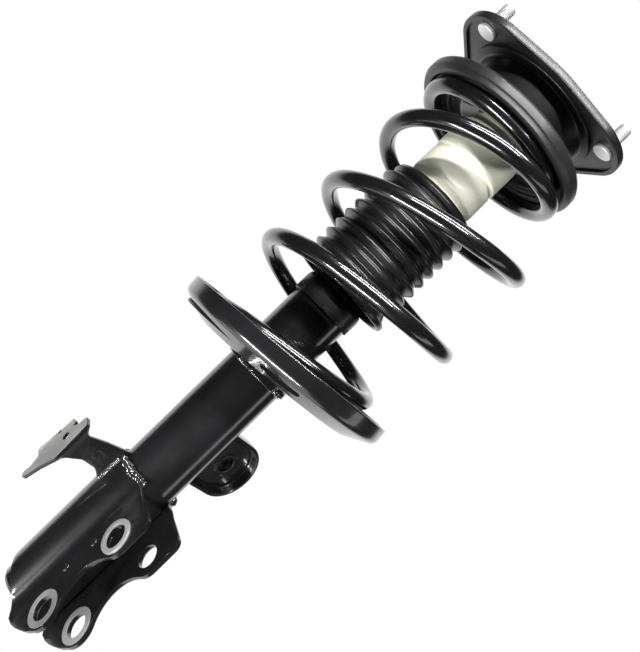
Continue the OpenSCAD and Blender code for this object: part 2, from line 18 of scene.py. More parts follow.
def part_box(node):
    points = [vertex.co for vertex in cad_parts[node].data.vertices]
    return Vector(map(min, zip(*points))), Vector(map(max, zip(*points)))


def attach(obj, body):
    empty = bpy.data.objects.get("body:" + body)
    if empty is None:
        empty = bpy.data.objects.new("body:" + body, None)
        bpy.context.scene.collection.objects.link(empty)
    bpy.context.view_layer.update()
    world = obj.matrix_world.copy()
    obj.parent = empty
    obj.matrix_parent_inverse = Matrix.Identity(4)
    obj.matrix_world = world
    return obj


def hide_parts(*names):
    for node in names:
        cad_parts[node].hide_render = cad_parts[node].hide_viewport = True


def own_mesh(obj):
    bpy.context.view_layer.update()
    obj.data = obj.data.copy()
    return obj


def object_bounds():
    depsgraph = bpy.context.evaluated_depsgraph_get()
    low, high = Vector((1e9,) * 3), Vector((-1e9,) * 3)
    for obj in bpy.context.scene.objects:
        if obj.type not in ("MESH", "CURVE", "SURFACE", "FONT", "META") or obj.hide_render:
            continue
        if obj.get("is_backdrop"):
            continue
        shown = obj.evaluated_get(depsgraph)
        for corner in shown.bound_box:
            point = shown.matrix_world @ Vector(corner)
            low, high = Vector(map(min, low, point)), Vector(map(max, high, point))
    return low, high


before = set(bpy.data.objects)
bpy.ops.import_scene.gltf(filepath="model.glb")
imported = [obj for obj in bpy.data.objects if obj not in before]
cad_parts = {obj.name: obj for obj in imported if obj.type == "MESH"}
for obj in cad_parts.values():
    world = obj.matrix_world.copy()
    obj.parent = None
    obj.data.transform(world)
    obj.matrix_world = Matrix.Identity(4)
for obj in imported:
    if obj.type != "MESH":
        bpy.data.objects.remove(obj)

log = logging.getLogger("strut")

MM = 0.001
TAU = 2 * math.pi
VIEW_AZIMUTH = 57.0

Point2 = tuple[float, float]
Color = tuple[float, float, float]


class Body(Enum):
    """CAD bodies that pieces ride on."""

    MOUNT = "upper_mount"
    SWIVEL = "swivel"
    STRUT = "strut_body"


class Slot(Enum):
    """Material slots of the record."""

    PAINT = "gloss_black_steel"
    ZINC = "zinc_steel"
    BARE = "bare_steel"
    CHROME = "chrome_rod"
    IRON = "sintered_iron"
    BRONZE = "bronze"
    RUBBER = "black_rubber"
    FOAM = "cream_foam"
    NYLON = "cage_plastic"
    SEAL = "seal_plastic"


# ---------------------------------------------------------------- shaders


def add_node(tree: bpy.types.NodeTree, kind: str, inputs: dict, **settings: object) -> bpy.types.Node:
    """Adds a node to a tree and fills its inputs.

    Args:
        tree: the tree.
        kind: the node's type.
        inputs: sockets or constants by input name or index.
        **settings: the node's own properties.

    Returns:
        The node.
    """
    made = tree.nodes.new(kind)
    for key, value in settings.items():
        setattr(made, key, value)
    for key, value in inputs.items():
        if isinstance(value, bpy.types.NodeSocket):
            tree.links.new(value, made.inputs[key])
        else:
            made.inputs[key].default_value = value
    return made


class Wire:
    """An output of a shader tree; Python's operators on it make Math nodes."""

    def __init__(self, graph: "Graph", socket: bpy.types.NodeSocket) -> None:
        """Keeps the socket with the graph that it is in."""
        self.graph, self.socket = graph, socket

    def __add__(self, other: "Term") -> "Wire":
        """This plus other."""
        return self.graph.math("ADD", self, other)

    __radd__ = __add__

    def __sub__(self, other: "Term") -> "Wire":
        """This minus other."""
        return self.graph.math("SUBTRACT", self, other)

    def __rsub__(self, other: "Term") -> "Wire":
        """A number minus this."""
        return self.graph.math("SUBTRACT", other, self)

    def __mul__(self, other: "Term") -> "Wire":
        """This times other."""
        return self.graph.math("MULTIPLY", self, other)


Term = Union[Wire, float]


class Graph:
    """A material's node tree under construction."""

    def __init__(self, name: str) -> None:
        """Starts a named material with a Principled shader."""
        self.material = bpy.data.materials.new(name)
        self.material.use_nodes = True
        self.tree = self.material.node_tree
        self.tree.nodes.clear()
        self.shader = add_node(self.tree, "ShaderNodeBsdfPrincipled", {})
        add_node(self.tree, "ShaderNodeOutputMaterial", {"Surface": self.shader.outputs["BSDF"]})
        self.coords = self.node("ShaderNodeTexCoord", {}, "Object")

    def node(self, kind: str, inputs: dict, output: Union[str, int] = 0, **settings: object) -> Wire:
        """Adds one node.

        Args:
            kind: the node's type.
            inputs: values or wires by input name or index.
            output: which output to return.
            **settings: the node's own properties.

        Returns:
            A wire from the chosen output.
        """
        plain = {key: value.socket if isinstance(value, Wire) else value for key, value in inputs.items()}
        return Wire(self, add_node(self.tree, kind, plain, **settings).outputs[output])

    def math(self, operation: str, a: Term, b: Term) -> Wire:
        """Adds a Math node for an operation on two terms."""
        return self.node("ShaderNodeMath", {0: a, 1: b}, operation=operation)

    def noise(self, scale: float, detail: float = 3.0, stretch: Optional[Color] = None) -> Wire:
        """Noise over the piece's own coordinates.

        Args:
            scale: cells to the metre.
            detail: octaves.
            stretch: how much each axis is scaled first.

        Returns:
            A wire between 0 and 1.
        """
        coords = self.coords
        if stretch is not None:
            coords = self.node("ShaderNodeVectorMath", {0: coords, 1: stretch}, operation="MULTIPLY")
        return self.node("ShaderNodeTexNoise", {"Vector": coords, "Scale": scale, "Detail": detail})

    def spread(self, value: Wire, low: float, high: float) -> Wire:
        """Maps low..high of a wire to 0..1, smoothly and clamped."""
        return self.node(
            "ShaderNodeMapRange",
            {"Value": value, "From Min": low, "From Max": high},
            interpolation_type="SMOOTHSTEP",
        )

    def mix(self, factor: Term, first: object, second: object) -> Wire:
        """Mixes two colours, each a tuple or a wire, by the share of the second."""
        colors = [(*value, 1.0) if isinstance(value, tuple) else value for value in (first, second)]
        return self.node("ShaderNodeMix", {0: factor, 6: colors[0], 7: colors[1]}, 2, data_type="RGBA")

    def surface(self, **inputs: object) -> None:
        """Fills inputs of the shader with wires or constants, by names with _ for each space."""
        for key, value in inputs.items():
            socket = self.shader.inputs[key.replace("_", " ")]
            if isinstance(value, Wire):
                self.tree.links.new(value.socket, socket)
            else:
                socket.default_value = value


@dataclass(frozen=True)
class Finish:
    """A procedural surface: base colour with drifting tint, specks, fine grain and uneven gloss.

    Attributes:
        name: the material's name.
        slot: the record's slot that it answers to; not used.
        color: main colour.
        tint: colour that drifts in over large areas.
        rough: mean roughness.
        swing: how far roughness drifts.
        metallic: metallic share.
        coat: clear coat's weight.
        coat_rough: clear coat's roughness.
        coat_ior: clear coat's index.
        grain: grain cells to the metre.
        grain_mm: grain height in millimetres.
        ripple_mm: height of a slow ripple, like orange peel.
        specks: share of dust specks.
        speck_color: colour of the specks.
        stretch: grain's stretch along each axis, for brushed and turned metal.
    """

    name: str
    slot: Slot
    color: Color
    tint: Color
    rough: float
    swing: float = 0.08
    metallic: float = 0.0
    coat: float = 0.0
    coat_rough: float = 0.08
    coat_ior: float = 1.5
    grain: float = 1500.0
    grain_mm: float = 0.02
    ripple_mm: float = 0.0
    specks: float = 0.0
    speck_color: Color = (0.25, 0.25, 0.24)
    stretch: Optional[Color] = None

    def build(self) -> bpy.types.Material:
        """Builds the material.

        Returns:
            The new material.
        """
        g = Graph(self.name)
        drift = g.spread(g.noise(14.0, 4.0), 0.35, 0.68)
        patch = g.noise(55.0, 5.0)
        grain = g.noise(self.grain, 2.0, self.stretch)
        color = g.mix(drift, self.color, self.tint)
        if self.specks:
            cell = g.node("ShaderNodeTexVoronoi", {"Vector": g.coords, "Scale": 620.0}, "Distance")
            dots = (1.0 - g.spread(cell, 0.03, 0.16)) * g.spread(patch, 0.52, 0.72) * self.specks
            color = g.mix(dots, color, self.speck_color)
        height = grain * (self.grain_mm * MM)
        if self.ripple_mm:
            height = height + g.noise(210.0, 1.0) * (self.ripple_mm * MM)
        bump = g.node("ShaderNodeBump", {"Height": height, "Distance": 1.0, "Strength": 1.0})
        g.surface(
            Base_Color=color,
            Roughness=self.rough + (patch - 0.5) * (2 * self.swing) + (grain - 0.5) * 0.06,
            Metallic=self.metallic,
            Coat_Weight=self.coat,
            Coat_Roughness=self.coat_rough,
            Coat_IOR=self.coat_ior,
            Normal=bump,
        )
        if self.coat:
            g.surface(Coat_Normal=bump)
        return g.material


def grey(level: float) -> Color:
    """A neutral colour."""
    return (level, level, level)


class Palette:
    """Every finish, each built once."""

    FINISHES: dict[str, Finish] = {
        "paint": Finish(
            "gloss_black_paint", Slot.PAINT, (0.006, 0.006, 0.0065), (0.010, 0.010, 0.011), 0.30,
            coat=1.0, coat_rough=0.09, coat_ior=1.6, grain=2200.0, grain_mm=0.003, ripple_mm=0.05, specks=0.25,
        ),
        "spring_paint": Finish(
            "spring_paint", Slot.PAINT, (0.0045, 0.0045, 0.005), (0.007, 0.007, 0.0075), 0.24,
            coat=1.0, coat_rough=0.07, coat_ior=1.6, grain=2600.0, grain_mm=0.002, ripple_mm=0.03, specks=0.12,
        ),
        "satin": Finish(
            "satin_black_paint", Slot.PAINT, grey(0.007), grey(0.012), 0.36,
            coat=0.25, coat_rough=0.2, coat_ior=1.4, grain=1600.0, grain_mm=0.008, specks=0.35,
        ),
        "rubber": Finish(
            "satin_rubber", Slot.RUBBER, grey(0.0096), grey(0.0156), 0.42,
            swing=0.10, coat=0.25, coat_rough=0.3, grain=1300.0, grain_mm=0.03, specks=0.3,
        ),
        "boot": Finish(
            "boot_rubber", Slot.RUBBER, grey(0.0059), grey(0.0099), 0.34,
            swing=0.08, coat=0.5, coat_rough=0.16, coat_ior=1.5, grain=1100.0, grain_mm=0.02, specks=0.3,
        ),
        "foam": Finish(
            "cream_foam", Slot.FOAM, (0.80, 0.81, 0.66), (0.87, 0.87, 0.77), 0.62,
            swing=0.06, grain=900.0, grain_mm=0.06, ripple_mm=0.12, specks=0.22, speck_color=(0.62, 0.63, 0.47),
        ),
        "zinc": Finish(
            "bright_zinc", Slot.ZINC, (0.88, 0.88, 0.87), (0.74, 0.75, 0.76), 0.48,
            metallic=0.55, grain=1500.0, grain_mm=0.01, specks=0.3, stretch=(1.0, 1.0, 4.0),
        ),
        "bare": Finish(
            "ground_steel", Slot.BARE, (0.56, 0.56, 0.57), (0.44, 0.44, 0.46), 0.34,
            metallic=1.0, grain=900.0, grain_mm=0.012, specks=0.2, stretch=(1.0, 1.0, 8.0),
        ),
        "chrome": Finish(
            "hard_chrome", Slot.CHROME, (0.80, 0.80, 0.82), (0.76, 0.76, 0.78), 0.10,
            swing=0.04, metallic=1.0, grain=800.0, grain_mm=0.002, stretch=(1.0, 1.0, 10.0),
        ),
        "iron": Finish(
            "sintered_iron", Slot.IRON, grey(0.30), grey(0.22), 0.60,
            metallic=0.9, grain=1800.0, grain_mm=0.05, specks=0.4, speck_color=grey(0.1),
        ),
        "bronze": Finish(
            "sintered_bronze", Slot.BRONZE, (0.62, 0.45, 0.26), (0.50, 0.34, 0.18), 0.42,
            metallic=1.0, grain=1800.0, grain_mm=0.02, specks=0.3, speck_color=(0.3, 0.2, 0.1),
        ),
        "nylon": Finish(
            "moulded_nylon", Slot.NYLON, (0.75, 0.70, 0.55), (0.68, 0.62, 0.46), 0.45,
            grain=1500.0, grain_mm=0.02,
        ),
        "seal": Finish(
            "filled_plastic", Slot.SEAL, (0.10, 0.20, 0.17), (0.07, 0.15, 0.13), 0.50,
            grain=1500.0, grain_mm=0.02,
        ),
        # Lighter grey over the black paint: a painted reflection, standing in for the sheen of the gloss paint on the
        # brackets' flat faces. The dark specks are dust.
        "painted_reflection_grey": Finish(
            "painted_reflection_grey", Slot.PAINT, grey(0.16), (0.34, 0.34, 0.33), 0.45,
            swing=0.12, coat=0.4, coat_rough=0.2, grain=1800.0, grain_mm=0.03, specks=0.6, speck_color=grey(0.02),
        ),
        "weld": Finish(
            "painted_weld", Slot.PAINT, (0.014, 0.014, 0.015), (0.030, 0.030, 0.031), 0.22,
            coat=1.0, coat_rough=0.04, coat_ior=2.4, grain=900.0, grain_mm=0.18, specks=0.3,
        ),
    }

    def __init__(self) -> None:
        """Starts with nothing built."""
        self.built: dict[str, bpy.types.Material] = {}

    def get(self, key: str) -> bpy.types.Material:
        """Gives the material of the finish with a key, and builds it on first use."""
        if key not in self.built:
            self.built[key] = self.FINISHES[key].build()
        return self.built[key]


# ---------------------------------------------------------------- outlines


def arc(cx: float, cy: float, r: float, start: float, end: float, steps: int = 16) -> list[Point2]:
    """Points along an arc of some spans, between two angles in degrees."""
    angles = np.radians(np.linspace(start, end, steps + 1))
    return [(cx + r * math.cos(a), cy + r * math.sin(a)) for a in angles]


def circle(cx: float, cy: float, r: float, steps: int = 64) -> list[Point2]:
    """A closed circle's points, without repeating the first."""
    return arc(cx, cy, r, 0, 360, steps)[:-1]


def bezier(a: Sequence[float], p: Sequence[float], b: Sequence[float], times: Iterable[float]) -> list[Point2]:
    """Points at some times on a curve that leaves a towards p and ends at b."""
    a, p, b = np.array(a), np.array(p), np.array(b)
    curve = [(1 - t) ** 2 * a + 2 * t * (1 - t) * p + t * t * b for t in times]
    return [(float(x), float(y)) for x, y in curve]


def fillet(corners: Sequence[tuple[float, float, float]], steps: int = 5) -> list[Point2]:
    """Rounds the corners of a closed outline.

    Args:
        corners: x, y and rounding radius of each corner.
        steps: spans in each rounded corner.

    Returns:
        The rounded outline.
    """
    out: list[Point2] = []
    count = len(corners)
    for i, (x, y, radius) in enumerate(corners):
        p = np.array((x, y))
        before = np.array(corners[i - 1][:2]) - p
        after = np.array(corners[(i + 1) % count][:2]) - p
        room_a, room_b = np.linalg.norm(before), np.linalg.norm(after)
        if radius <= 0 or min(room_a, room_b) < 1e-6:
            out.append((x, y))
            continue
        cosine = float(np.clip(before @ after / (room_a * room_b), -1, 1))
        cut = min(radius / max(math.tan(math.acos(cosine) / 2), 1e-3), 0.49 * room_a, 0.49 * room_b)
        a, b = p + before / room_a * cut, p + after / room_b * cut
        out += bezier(a, p, b, np.linspace(0, 1, steps + 1))
    return out


def hull_of(points: Iterable[Point2]) -> list[Point2]:
    """The convex hull of some points, anticlockwise."""
    ordered = sorted(set(points))

    def chain(run: Iterable[Point2]) -> list[Point2]:
        """One side of the hull, without its last point."""
        kept: list[Point2] = []
        for p in run:
            while len(kept) > 1 and (kept[-1][0] - kept[-2][0]) * (p[1] - kept[-2][1]) <= (
                kept[-1][1] - kept[-2][1]
            ) * (p[0] - kept[-2][0]):
                kept.pop()
            kept.append(p)
        return kept[:-1]

    return chain(ordered) + chain(reversed(ordered))


# ---------------------------------------------------------------- meshes


@dataclass
class Shape:
    """Vertices in millimetres and faces, before they become a piece."""

    verts: np.ndarray
    faces: list[tuple[int, ...]]

    def __add__(self, other: "Shape") -> "Shape":
        """Puts two shapes in one mesh."""
        shift = len(self.verts)
        moved = [tuple(i + shift for i in face) for face in other.faces]
        return Shape(np.vstack([self.verts, other.verts]), self.faces + moved)

    def moved(self, matrix: Matrix) -> "Shape":
        """The shape under a transform in millimetres."""
        m = np.array(matrix)
        return Shape(self.verts @ m[:3, :3].T + m[:3, 3], self.faces)


    @staticmethod
    def joined(shapes: Iterable["Shape"]) -> "Shape":
        """Puts several shapes in one mesh."""
        first, *rest = shapes
        return sum(rest, first)

    @staticmethod
    def loft(points: Sequence[Sequence[float]], size: int, closed: bool = False) -> "Shape":
        """Skins a run of equal rings of points.

        Args:
            points: the rings' points, one ring after another.
            size: points in a ring.
            closed: whether the last ring joins the first; if not, both get a cap.

        Returns:
            A closed shape.
        """
        count = len(points) // size
        faces = []
        for i in range(count if closed else count - 1):
            a, b = i * size, ((i + 1) % count) * size
            faces += [(a + k, b + k, b + (k + 1) % size, a + (k + 1) % size) for k in range(size)]
        if not closed:
            faces.append(tuple(range(size - 1, -1, -1)))
            faces.append(tuple((count - 1) * size + k for k in range(size)))
        return Shape(np.array(points, float), faces)


def prism(loop: Sequence[Point2], height: float) -> Shape:
    """A prism on a flat outline, centred in height."""
    return Shape.loft([(x, y, e) for e in (-height / 2, height / 2) for x, y in loop], len(loop))


def lathe(profile: Sequence[Point2], steps: int = 144) -> Shape:
    """Turns a closed outline of (radius, height) round Z.

    Args:
        profile: the outline; points on the axis become poles.
        steps: spans round the axis.

    Returns:
        A closed shape with its faces outward.
    """
    area = sum(a[0] * b[1] - b[0] * a[1] for a, b in zip(profile, [*profile[1:], profile[0]]))
    points = list(profile) if area > 0 else list(reversed(profile))
    verts: list[tuple[float, float, float]] = []
    rings: list[list[int]] = []
    for r, z in points:
        if r < 1e-6:
            rings.append([len(verts)] * steps)
            verts.append((0.0, 0.0, z))
        else:
            rings.append(list(range(len(verts), len(verts) + steps)))
            verts += [(r * math.cos(TAU * k / steps), r * math.sin(TAU * k / steps), z) for k in range(steps)]
    faces = []
    for ring, following in zip(rings, [*rings[1:], rings[0]]):
        if ring[0] == ring[1] and following[0] == following[1]:
            continue
        for k in range(steps):
            n = (k + 1) % steps
            corners = [ring[k], ring[n], following[n], following[k]]
            faces.append(tuple(dict.fromkeys(corners)))
    return Shape(np.array(verts, float), faces)


def rail(path: Sequence[tuple[Point2, Point2]], section: Sequence[Point2], closed: bool) -> Shape:
    """Sweeps a closed section of (inset, height) along a flat path of points with inward directions."""
    verts = [(p[0] + d[0] * u, p[1] + d[1] * u, h) for p, d in path for u, h in section]
    return Shape.loft(verts, len(section), closed)


def inward(loop: Sequence[Point2]) -> list[tuple[Point2, Point2]]:
    """Pairs each point of an anticlockwise loop with its mitred inward direction."""
    out = []
    count = len(loop)
    for i, p in enumerate(loop):
        a = np.array(p) - np.array(loop[i - 1])
        b = np.array(loop[(i + 1) % count]) - np.array(p)
        na = np.array((-a[1], a[0])) / max(np.linalg.norm(a), 1e-9)
        nb = np.array((-b[1], b[0])) / max(np.linalg.norm(b), 1e-9)
        n = (na + nb) / max(1 + float(na @ nb), 0.3)
        out.append((p, (float(n[0]), float(n[1]))))
    return out


def sheet(
    loops: Sequence[Sequence[Point2]],
    thickness: float,
    cuts: Iterable[float],
    place: Callable[[np.ndarray, np.ndarray, float], np.ndarray],
) -> Shape:
    """Makes a sheet from a flat outline with holes, and lays it along a surface.

    Args:
        loops: the outline first and then its holes, as (along, height).
        thickness: sheet thickness.
        cuts: distances along at which the sheet gets a line of vertices to bend at.
        place: maps arrays of along and height, and an offset off the middle surface, to points.

    Returns:
        A closed shape.
    """
    bm = bmesh.new()
    for loop in loops:
        ring = [bm.verts.new((x, y, 0)) for x, y in loop]
        for a, b in zip(ring, [*ring[1:], ring[0]]):
            bm.edges.new((a, b))
    bmesh.ops.triangle_fill(bm, use_beauty=True, use_dissolve=False, edges=bm.edges[:], normal=(0, 0, 1))
    for cut in cuts:
        geom = bm.verts[:] + bm.edges[:] + bm.faces[:]
        bmesh.ops.bisect_plane(bm, geom=geom, dist=1e-4, plane_co=(cut, 0, 0), plane_no=(1, 0, 0))
    bm.verts.index_update()
    flat = np.array([v.co for v in bm.verts])
    count = len(flat)
    faces = []
    for f in bm.faces:
        corners = [v.index for v in f.verts]
        if f.normal.z < 0:
            corners.reverse()
        faces.append(tuple(corners))
    directed = {(c[i - 1], c[i]) for c in faces for i in range(len(c))}
    rim = [(a, b) for a, b in directed if (b, a) not in directed]
    bm.free()
    front = place(flat[:, 0], flat[:, 1], thickness / 2)
    back = place(flat[:, 0], flat[:, 1], -thickness / 2)
    solid = list(faces)
    solid += [tuple(i + count for i in reversed(c)) for c in faces]
    solid += [(b, a, a + count, b + count) for a, b in rim]
    return Shape(np.vstack([front, back]), solid)


def level_sheet(loops: Sequence[Sequence[Point2]], thickness: float, middle: float = 0.0) -> Shape:
    """A flat level sheet with its middle at a height; the other arguments are those of sheet."""
    return sheet(loops, thickness, [], lambda s, t, offset: np.c_[s, t, np.full(len(s), offset + middle)])


def axes(x: Vector, y: Vector, z: Vector, place: Vector) -> Matrix:
    """The transform that takes the axes to three directions and the origin to a place."""
    return Matrix([(*v, w) for v, w in ((x, 0), (y, 0), (z, 0), (place, 1))]).transposed()


def spin(degrees: float, axis: Union[str, Vector] = "Z") -> Matrix:
    """A rotation."""
    return Matrix.Rotation(math.radians(degrees), 4, axis)


def shift(x: float, y: float, z: float = 0.0) -> Matrix:
    """A translation."""
    return Matrix.Translation((x, y, z))


def outer_r(node: str) -> float:
    """Radius of a CAD node about the damper axis, in millimetres."""
    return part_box(node)[1].x / MM


def linked(name: str, data: bpy.types.ID) -> bpy.types.Object:
    """A new object in the scene that shows some data."""
    obj = bpy.data.objects.new(name, data)
    bpy.context.scene.collection.objects.link(obj)
    return obj


@dataclass
class Bender:
    """Lays a flat sheet along a line in plan, keeping its height.

    Attributes:
        plan: dense (x, y) points of the sheet's middle surface.
    """

    plan: Sequence[Point2]

    def __post_init__(self) -> None:
        """Works out distances and outward directions along the line."""
        points = np.array(self.plan, float)
        self.points = points
        steps = np.linalg.norm(np.diff(points, axis=0), axis=1)
        self.along = np.concatenate([[0.0], np.cumsum(steps)])
        tangent = np.gradient(points, self.along, axis=0)
        tangent /= np.linalg.norm(tangent, axis=1)[:, None]
        self.normal = np.c_[tangent[:, 1], -tangent[:, 0]]

    def place(self, s: np.ndarray, z: np.ndarray, offset: float) -> np.ndarray:
        """Maps distances along the line and heights to points at an offset off the line."""
        columns = [
            np.interp(s, self.along, self.points[:, i]) + offset * np.interp(s, self.along, self.normal[:, i])
            for i in (0, 1)
        ]
        return np.c_[columns[0], columns[1], z]


class Workshop:
    """Turns shapes into finished pieces and gives them finishes and bodies."""

    def __init__(self, palette: Palette) -> None:
        """Starts a workshop that uses a palette."""
        self.palette = palette
        self.count = 0

    def mesh_object(self, name: str, shape: Shape) -> bpy.types.Object:
        """Makes a linked mesh object from a shape, with merged seams and outward faces.

        Args:
            name: the object's name.
            shape: vertices in millimetres and faces.

        Returns:
            The object.
        """
        mesh = bpy.data.meshes.new(name)
        mesh.from_pydata((shape.verts * MM).tolist(), [], shape.faces)
        bm = bmesh.new()
        bm.from_mesh(mesh)
        bmesh.ops.remove_doubles(bm, verts=bm.verts, dist=1e-6)
        bmesh.ops.recalc_face_normals(bm, faces=bm.faces)
        bm.to_mesh(mesh)
        bm.free()
        return linked(name, mesh)

    def freeze(self, obj: bpy.types.Object) -> bpy.types.Object:
        """Replaces an object's mesh with its evaluated one and drops its modifiers."""
        bpy.context.view_layer.update()
        graph = bpy.context.evaluated_depsgraph_get()
        made = bpy.data.meshes.new_from_object(obj.evaluated_get(graph))
        obj.modifiers.clear()
        obj.data = made
        return obj

    @staticmethod
    def join(target: bpy.types.Object, extra: bpy.types.Object) -> None:
        """Adds one object's mesh to another's and removes it."""
        bm = bmesh.new()
        bm.from_mesh(target.data)
        bm.from_mesh(extra.data)
        bm.to_mesh(target.data)
        bm.free()
        bpy.data.objects.remove(extra)

    def bevel(self, obj: bpy.types.Object, width: float, angle: float = 40, segments: int = 2) -> bpy.types.Object:
        """Bevels edges sharper than an angle in degrees for good, by a width in millimetres."""
        m = obj.modifiers.new("bevel", "BEVEL")
        m.width, m.segments, m.limit_method = width * MM, segments, "ANGLE"
        m.angle_limit = math.radians(angle)
        return self.freeze(obj)

    def carve(self, obj: bpy.types.Object, cutters: Sequence[Shape]) -> bpy.types.Object:
        """Cuts shapes out of an object for good.

        Args:
            obj: the object.
            cutters: closed shapes to take away.

        Returns:
            The same object.
        """
        tools = [self.mesh_object("cutter", c) for c in cutters]
        for tool in tools:
            m = obj.modifiers.new("cut", "BOOLEAN")
            m.operation, m.solver, m.object = "DIFFERENCE", "EXACT", tool
        self.freeze(obj)
        for tool in tools:
            bpy.data.objects.remove(tool)
        return obj

    def finish(
        self, obj: bpy.types.Object, finish: str, body: Body, *nodes: str, sharp: float = 38
    ) -> bpy.types.Object:
        """Shades a piece, gives it its finish, and ties it to its body.

        Args:
            obj: the piece.
            finish: key of its finish.
            body: the CAD body that it rides on.
            *nodes: CAD nodes that it stands for.
            sharp: edges sharper than this many degrees stay sharp.

        Returns:
            The piece.
        """
        obj.data.materials.clear()
        obj.data.materials.append(self.palette.get(finish))
        obj.data.polygons.foreach_set("use_smooth", [True] * len(obj.data.polygons))
        obj.data.set_sharp_from_angle(angle=math.radians(sharp))
        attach(obj, body.value)
        if nodes:
            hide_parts(*nodes)
        self.count += 1
        log.info("%-26s %7d faces on %s", obj.name, len(obj.data.polygons), body.value)
        return obj

    def piece(
        self, name: str, shape: Shape, finish: str, body: Body, *nodes: str, sharp: float = 38
    ) -> bpy.types.Object:
        """A finished piece made of one shape; the arguments are those of mesh_object and finish."""
        return self.finish(self.mesh_object(name, shape), finish, body, *nodes, sharp=sharp)

    def turned(
        self, name: str, profile: Sequence[Point2], finish: str, body: Body, *nodes: str, steps: int = 144
    ) -> bpy.types.Object:
        """A finished turned piece; the arguments are those of lathe and finish."""
        return self.piece(name, lathe(profile, steps), finish, body, *nodes)


class NodeTree:
    """A Geometry Nodes tree with named inputs."""

    def __init__(self, name: str) -> None:
        """Starts a named tree that takes and gives one geometry."""
        self.tree = bpy.data.node_groups.new(name, "GeometryNodeTree")
        for way in ("INPUT", "OUTPUT"):
            self.tree.interface.new_socket("Geometry", in_out=way, socket_type="NodeSocketGeometry")
        self.source = self.tree.nodes.new("NodeGroupInput")
        self.sink = self.tree.nodes.new("NodeGroupOutput")
        self.values: dict[str, object] = {}

    def input(self, name: str, kind: str, value: object) -> bpy.types.NodeSocket:
        """Adds a named input with the value that it is to take.

        Args:
            name: the input's name.
            kind: its socket type.
            value: its value.

        Returns:
            The input's socket inside the tree.
        """
        made = self.tree.interface.new_socket(name, in_out="INPUT", socket_type=kind)
        self.values[made.identifier] = value
        return self.source.outputs[name]

    def node(self, kind: str, inputs: dict, output: int = 0, **settings: object) -> bpy.types.NodeSocket:
        """Adds a node as add_node does, and returns one of its outputs."""
        return add_node(self.tree, kind, inputs, **settings).outputs[output]

    def run(self, shop: Workshop, obj: bpy.types.Object, result: bpy.types.NodeSocket) -> bpy.types.Object:
        """Ends the tree, runs it on an object and keeps the plain mesh that it makes.

        Args:
            shop: the workshop.
            obj: the object whose mesh is the input.
            result: geometry to realize and give its material.

        Returns:
            The same object, now a plain mesh.
        """
        material = self.input("Material", "NodeSocketMaterial", shop.palette.get("paint"))
        real = self.node("GeometryNodeRealizeInstances", {"Geometry": result})
        painted = self.node("GeometryNodeSetMaterial", {"Geometry": real, "Material": material})
        self.tree.links.new(painted, self.sink.inputs[0])
        modifier = obj.modifiers.new("grow", "NODES")
        modifier.node_group = self.tree
        for identifier, value in self.values.items():
            modifier[identifier] = value
        return shop.freeze(obj)


def line_object(shop: Workshop, name: str, runs: Sequence[np.ndarray]) -> bpy.types.Object:
    """A mesh of open polylines for a node tree to read.

    Args:
        shop: the workshop.
        name: the object's name.
        runs: each polyline's points in millimetres.

    Returns:
        The object.
    """
    mesh = bpy.data.meshes.new(name)
    verts, edges = [], []
    for run in runs:
        start = len(verts)
        verts += (np.asarray(run) * MM).tolist()
        edges += [(start + i, start + i + 1) for i in range(len(run) - 1)]
    mesh.from_pydata(verts, edges, [])
    return linked(name, mesh)


@dataclass
class WeldBead:
    """A run of overlapping weld scales laid along lines.

    Attributes:
        name: the piece's name.
        runs: lines in millimetres.
        width: half width of a scale.
        step: distance between scales.
        scatter: how far scales stray, as spatter does.
        seed: seed of the random sizes.
    """

    name: str
    runs: Sequence[np.ndarray]
    width: float = 2.3
    step: float = 1.5
    scatter: float = 0.15
    seed: int = 3

    def build(self, shop: Workshop, body: Body) -> bpy.types.Object:
        """Grows the bead.

        Args:
            shop: the workshop.
            body: the body that it rides on.

        Returns:
            The piece.
        """
        t = NodeTree("weld_bead")
        step = t.input("Step", "NodeSocketFloat", self.step * MM)
        width = t.input("Half width", "NodeSocketFloat", self.width * MM)
        scatter = t.input("Scatter", "NodeSocketFloat", self.scatter * MM)
        seed = t.input("Seed", "NodeSocketInt", self.seed)
        curve = t.node("GeometryNodeMeshToCurve", {"Mesh": t.source.outputs["Geometry"]})
        points = t.node("GeometryNodeResampleCurve", {"Curve": curve, "Length": step}, mode="LENGTH")

        def random(low: Color, high: Color) -> bpy.types.NodeSocket:
            """A random vector for each point."""
            return t.node("FunctionNodeRandomValue", {0: low, 1: high, "Seed": seed}, data_type="FLOAT_VECTOR")

        spray = random((-1, -1, -1), (1, 1, 1))
        offset = t.node("ShaderNodeVectorMath", {0: spray, "Scale": scatter}, operation="SCALE")
        strayed = t.node("GeometryNodeSetPosition", {"Geometry": points, "Offset": offset})
        tangent = t.node("GeometryNodeInputTangent", {})
        placed = t.node("GeometryNodeInstanceOnPoints", {
            "Points": strayed,
            "Instance": t.node("GeometryNodeMeshUVSphere", {"Segments": 18, "Rings": 10, "Radius": width}),
            "Rotation": t.node("FunctionNodeAlignRotationToVector", {"Vector": tangent}, axis="Z"),
            "Scale": random((0.82, 0.82, 0.42), (1.12, 1.12, 0.62)),
        })
        obj = line_object(shop, self.name, self.runs)
        t.run(shop, obj, placed)
        return shop.finish(obj, "weld", body, sharp=60)


def level_ring(r: float, z: float, start: float = 0, end: float = 360) -> np.ndarray:
    """Points along a level arc round the damper axis, in millimetres and degrees."""
    steps = max(12, int(abs(end - start) / 3))
    return np.array([(x, y, z) for x, y in arc(0, 0, r, start, end, steps)])


# ---------------------------------------------------------------- sub-assemblies


